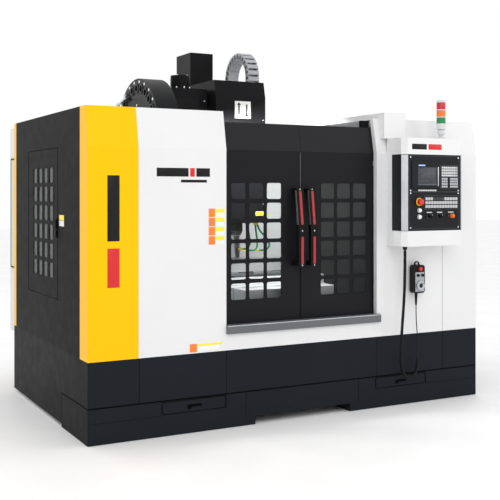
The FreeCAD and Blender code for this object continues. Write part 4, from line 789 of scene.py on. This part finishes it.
# ------------------------------------------------------------ operator console
face = -1.159
CONSOLE_MIDDLE = 0.889
build = bmesh.new()
for sign in (-1, 1):
    x_side = CONSOLE_MIDDLE + sign * 0.2505
    x_front = CONSOLE_MIDDLE + sign * 0.2205
    outer = [(x_side, -1.1315), (x_front, -1.1605), (x_front - sign * 0.002, -1.1605), (x_side, -1.125)]
    inner_side = [(x_front - sign * 0.002, -1.1585), (x_side - sign * 0.003, -1.125)]
    points = [outer[3], outer[0], outer[1], outer[2]] + inner_side
    if sign > 0:
        points = list(reversed(points))
    add_prism(build, points, 1.158, 1.647, axis=2)
bmesh.ops.recalc_face_normals(build, faces=build.faces)
finish_piece("console_corner_strips", build, strip_metal, "machine", False)
blocks("console_panel_lines", [
    ((0.684, face - 0.0006, 1.4065), (1.094, face, 1.4085)),
    ((0.684, face - 0.0006, 1.640), (1.094, face, 1.6415)),
    ((0.684, face - 0.0006, 1.1665), (1.094, face, 1.168)),
    ((0.684, face - 0.0006, 1.168), (0.6855, face, 1.640)),
    ((1.0925, face - 0.0006, 1.168), (1.094, face, 1.640)),
], painted("panel_line_grey", linear(86, 88, 92), 0.5, 0.1), "machine", 0.0)
screws("console_screws", [(x, face, z) for x in (0.691, 1.086) for z in (1.176, 1.3985, 1.4165, 1.632)],
       "Y", 0.0055, 0.0025, "machine")
blocks("lcd_title", [((0.752, -1.1658, 1.5745), (0.806, -1.1650, 1.5835))],
       glowing("title_blue", linear(150, 176, 224), 0.2), "machine", 0.0003)
blocks("lcd_side_bar", [((0.9095, -1.1662, 1.445), (0.9175, -1.1640, 1.570))], strip_metal, "machine",
       0.001)
glow = glowing("screen_picture", linear(30, 33, 38), 0.15, 0.3, haze=0.02)
blocks("lcd_picture", [((0.749, -1.1628, 1.450), (0.901, -1.1618, 1.566))], glow, "machine", 0.0003)
blocks("lcd_rows", [((0.756, -1.1633, 1.548 - 0.012 * i),
                     (0.756 + 0.05 + 0.018 * ((i * 7) % 5), -1.1627, 1.551 - 0.012 * i))
                    for i in range(7)], glowing("screen_rows", linear(60, 66, 76), 0.1), "machine", 0.0)
blocks("lcd_soft_row", [((0.749, -1.1633, 1.4525), (0.901, -1.1627, 1.4585))],
       glowing("screen_bar", linear(58, 66, 80), 0.1), "machine", 0.0)
blocks("console_label_plates", [((0.822, face - 0.0008, 1.272), (0.866, face, 1.277)),
                                ((0.907, face - 0.0008, 1.272), (0.951, face, 1.277)),
                                ((1.001, face - 0.0008, 1.272), (1.045, face, 1.277))], vinyl_white,
       "machine", 0.0)
build = bmesh.new()
for cx, cz in ((0.844, 1.251), (0.929, 1.251), (1.023, 1.25)):
    for k in range(11):
        angle = math.radians(-135 + 27 * k)
        turn = Matrix.Translation((cx, face - 0.0004, cz)) @ Matrix.Rotation(angle, 4, "Y")
        add_block(build, (-0.0006, -0.0004, 0.0175), (0.0006, 0.0004, 0.0205), 0.0, turn)
finish_piece("dial_marks", build, vinyl_white, "machine", False)
build = bmesh.new()
for cx, cz in ((0.759, 1.288), (0.759, 1.246)):
    add_lathe(build, (cx, face - 0.005, cz), "Y", [(0.0130, 0.0), (0.0152, 0.001), (0.0152, 0.005)], 32)
finish_piece("button_rings", build, chrome, "machine")
for label, cx, cz in (("start", 0.759, 1.288), ("hold", 0.759, 1.246)):
    turned(label + "_button_lens", [(cx, -1.1748, cz)], "Y",
           [(0.006, 0.0), (0.0095, 0.0006), (0.0095, 0.0012)], 32,
           glowing(label + "_lens", linear(228, 230, 228), 0.1), label + "_button")
for label, cx, cz, body in (("feed", 0.844, 1.251, "feed_knob"), ("speed", 0.929, 1.251, "speed_knob"),
                            ("mode", 1.023, 1.25, "mode_knob")):
    blocks(label + "_pointer", [((cx - 0.0008, -1.1896, cz + 0.003), (cx + 0.0008, -1.1886, cz + 0.0125))],
           vinyl_white, body, 0.0)
build = bmesh.new()
add_ring(build, 0, 2, face - 0.0007, (0.9435, 1.3385), 0.282, 0.086, 0.004, 0.0012, 0.0007)
add_ring(build, 0, 2, face - 0.0007, (1.011, 1.5045), 0.146, 0.152, 0.004, 0.0012, 0.0007)
finish_piece("key_borders", build, painted("key_border_grey", linear(110, 113, 118), 0.5, 0.1), "machine")
blocks("cap_bars_dark", [((0.702, -1.1618, 1.682), (0.822, -1.161, 1.718))], vinyl_dark, "machine", 0.0003)
blocks("cap_bars_red", [((0.836, -1.1618, 1.682), (0.945, -1.161, 1.718))], vinyl_red, "machine", 0.0003)
turned("tower_foot_screws", [(x, y, 1.771) for x, y in around((1.008, -1.080), 0.021, 8)], "Z",
       [(0.0025, -0.0005), (0.0025, 0.0012), (0.001, 0.0018)], 8, chrome, "machine")

# ------------------------------------------------------------ pendant details
build = bmesh.new()
for k in range(20):
    angle = math.radians(18 * k)
    turn = Matrix.Translation((0.857, -1.0462, 0.788)) @ Matrix.Rotation(angle, 4, "Y")
    add_block(build, (-0.0005, -0.0006, 0.0345), (0.0005, 0.0006, 0.0375), 0.0, turn)
finish_piece("dial_scale", build, vinyl_dark, "machine", False)
turned("dial_centre", [(0.857, -1.0605, 0.788)], "Y", [(0.009, 0.0), (0.0155, 0.0012), (0.017, 0.0012)], 40,
       knob_black, "pendant_dial")
turned("dial_grip_top", [(0.875, -1.0752, 0.802)], "Y", [(0.0028, 0.0), (0.0046, 0.0012)], 14,
       knob_black, "pendant_dial")
screws("pendant_screws", [(x, -1.0465, z) for x in (0.826, 0.887) for z in (0.753, 0.871)], "Y", 0.003,
       0.0012, "machine")

# ------------------------------------------------------------ energy chain of separate links
CHAIN_X = 0.251
CHAIN_LOW = 2.100
CHAIN_HIGH = 2.2655
LINK = 0.0415
radius = 0.1685
middle = 0.3355
leg_long = CHAIN_HIGH - CHAIN_LOW
arc_long = math.pi * radius
whole = 2 * leg_long + arc_long
count = int(whole / LINK)
build = bmesh.new()
for i in range(count):
    s = (i + 0.5) * whole / count
    if s < leg_long:
        y, z, angle = middle - radius, CHAIN_LOW + s, 0.0
    elif s < leg_long + arc_long:
        turn_by = (s - leg_long) / radius
        y, z, angle = middle - radius * math.cos(turn_by), CHAIN_HIGH + radius * math.sin(turn_by), turn_by
    else:
        y, z, angle = middle + radius, CHAIN_HIGH - (s - leg_long - arc_long), math.pi
    place = Matrix.Translation((CHAIN_X, y, z)) @ Matrix.Rotation(-angle, 4, "X")
    h = LINK / 2
    for x in (-0.045, 0.036):
        add_block(build, (x, -0.0285, -h - 0.004), (x + 0.009, 0.0285, h - 0.003), 0.006, place, 2)
        add_block(build, (x, -0.020, -h * 0.3), (x + 0.009, 0.020, h + 0.008), 0.004, place, 1)
    add_block(build, (-0.040, 0.0215, -h * 0.86), (0.040, 0.0275, h * 0.86), 0.002, place, 1)
    add_block(build, (-0.040, -0.0275, -h * 0.80), (0.040, -0.0215, h * 0.80), 0.002, place, 1)
chain = finish_piece("chain_links", build, chain_plastic, None)
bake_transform(chain)
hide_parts("drag_chain")

# ------------------------------------------------------------ head, drum and changer details
blocks("head_plate", [((-0.048, -0.1309, 1.927), (0.078, -0.130, 2.048))], vinyl_white, "head", 0.0003)
build = bmesh.new()
for cx, way in ((-0.016, 1), (0.046, -1)):
    shaft = [(cx - 0.006, 1.950), (cx + 0.006, 1.950), (cx + 0.006, 2.026), (cx - 0.006, 2.026)]
    add_prism(build, shaft, -0.1314, -0.1308, axis=1)
    tip = 2.040 if way > 0 else 1.936
    base = 2.022 if way > 0 else 1.954
    head = [(cx - 0.016, base), (cx + 0.016, base), (cx, tip)]
    if way < 0:
        head = list(reversed(head))
    add_prism(build, head, -0.1314, -0.1308, axis=1)
bmesh.ops.recalc_face_normals(build, faces=build.faces)
finish_piece("head_arrows", build, vinyl_dark, "head", False)
blocks("head_tag", [((0.118, -0.1309, 1.238), (0.186, -0.130, 1.268))], vinyl_yellow, "head", 0.0003)
screws("head_cover_screws", [(x, -0.130, z) for x in (-0.180, 0.180) for z in (1.32, 1.62, 1.92)], "Y",
       0.006, 0.003, "head")
turned("cartridge_screws", [(x, y, 1.2252) for x, y in around((0, 0), 0.082, 8, 0.5)], "Z",
       [(0.006, -0.006), (0.007, -0.004), (0.007, 0.0)], 12, steel, "head")

DRUM_AXIS = (0.080, 1.803)
DRUM_FACE = -0.7035
turned("drum_screws", [(DRUM_FACE, y, z) for y, z in around(DRUM_AXIS, 0.20, 12)], "X",
       [(0.006, 0.0), (0.009, 0.001), (0.009, 0.0045)], 14, chrome, "drum")
turned("drum_rim_buttons", [(DRUM_FACE, y, z) for y, z in around(DRUM_AXIS, 0.362, 24, 0.5)], "X",
       [(0.007, 0.0), (0.010, 0.001), (0.010, 0.0045)], 14, vinyl_white, "drum")
turned("drum_hub_cap", [(DRUM_FACE - 0.001,) + DRUM_AXIS], "X",
       [(0.045, 0.0), (0.064, 0.004), (0.064, 0.008)], 40, steel, "drum")

MOTOR = (-0.391, 0.045)
build = bmesh.new()
for x, y in around(MOTOR, 0.052, 4, 0.5):
    add_lathe(build, (x, y, 2.2218), "Z", [(0.006, 0.0), (0.006, 0.004), (0.004, 0.006)], 12)
for x, y in around(MOTOR, 0.0695, 8):
    add_lathe(build, (x, y, 2.1302), "Z", [(0.006, 0.0), (0.006, 0.011), (0.004, 0.0135)], 12)
finish_piece("cam_motor_screws", build, chrome, "machine")
turned("cam_motor_fins", [MOTOR + (2.140 + 0.012 * k,) for k in range(6)], "Z",
       [(0.0665, 0.0), (0.0695, 0.001), (0.0695, 0.004), (0.0665, 0.005)], 40, black_paint, "machine")
blocks("cam_box_ribs", [((-0.4905, 0.0 + 0.075 * k, 1.50), (-0.4895, 0.004 + 0.075 * k,
                                                            2.10)) for k in range(4)], gasket, "machine",
       0.0)
blocks("cam_box_cover", [((-0.475, -0.0335, 1.56), (-0.230, -0.0295, 2.06))], black_paint, "machine",
       0.0012)
screws("cam_box_screws", [(x, -0.0335, z) for x in (-0.465, -0.240) for z in (1.575, 1.81, 2.045)], "Y",
       0.006, 0.003, "machine")
build = bmesh.new()
lever = Matrix.Translation((-0.722, 0.315, 2.052)) @ Matrix.Rotation(math.radians(76), 4, "X")
for low, high, thick in ((-0.095, 0.095, 0.009), (0.070, 0.098, 0.015), (-0.100, -0.078, 0.014)):
    made = bmesh.ops.create_cone(build, cap_ends=True, segments=24, radius1=thick, radius2=thick,
                                 depth=high - low)
    bmesh.ops.transform(build, matrix=lever @ Matrix.Translation((0, 0, (low + high) / 2)),
                        verts=made["verts"])
bevelled(finish_piece("pot_lever", build, chrome, "drum"), 0.0015)
blocks("chamber_lamp", [((0.30, 0.505, 1.72), (0.80, 0.529, 1.78))],
       glowing("lamp_cover", linear(250, 250, 245), 1.2, 0.3), "machine", 0.004)
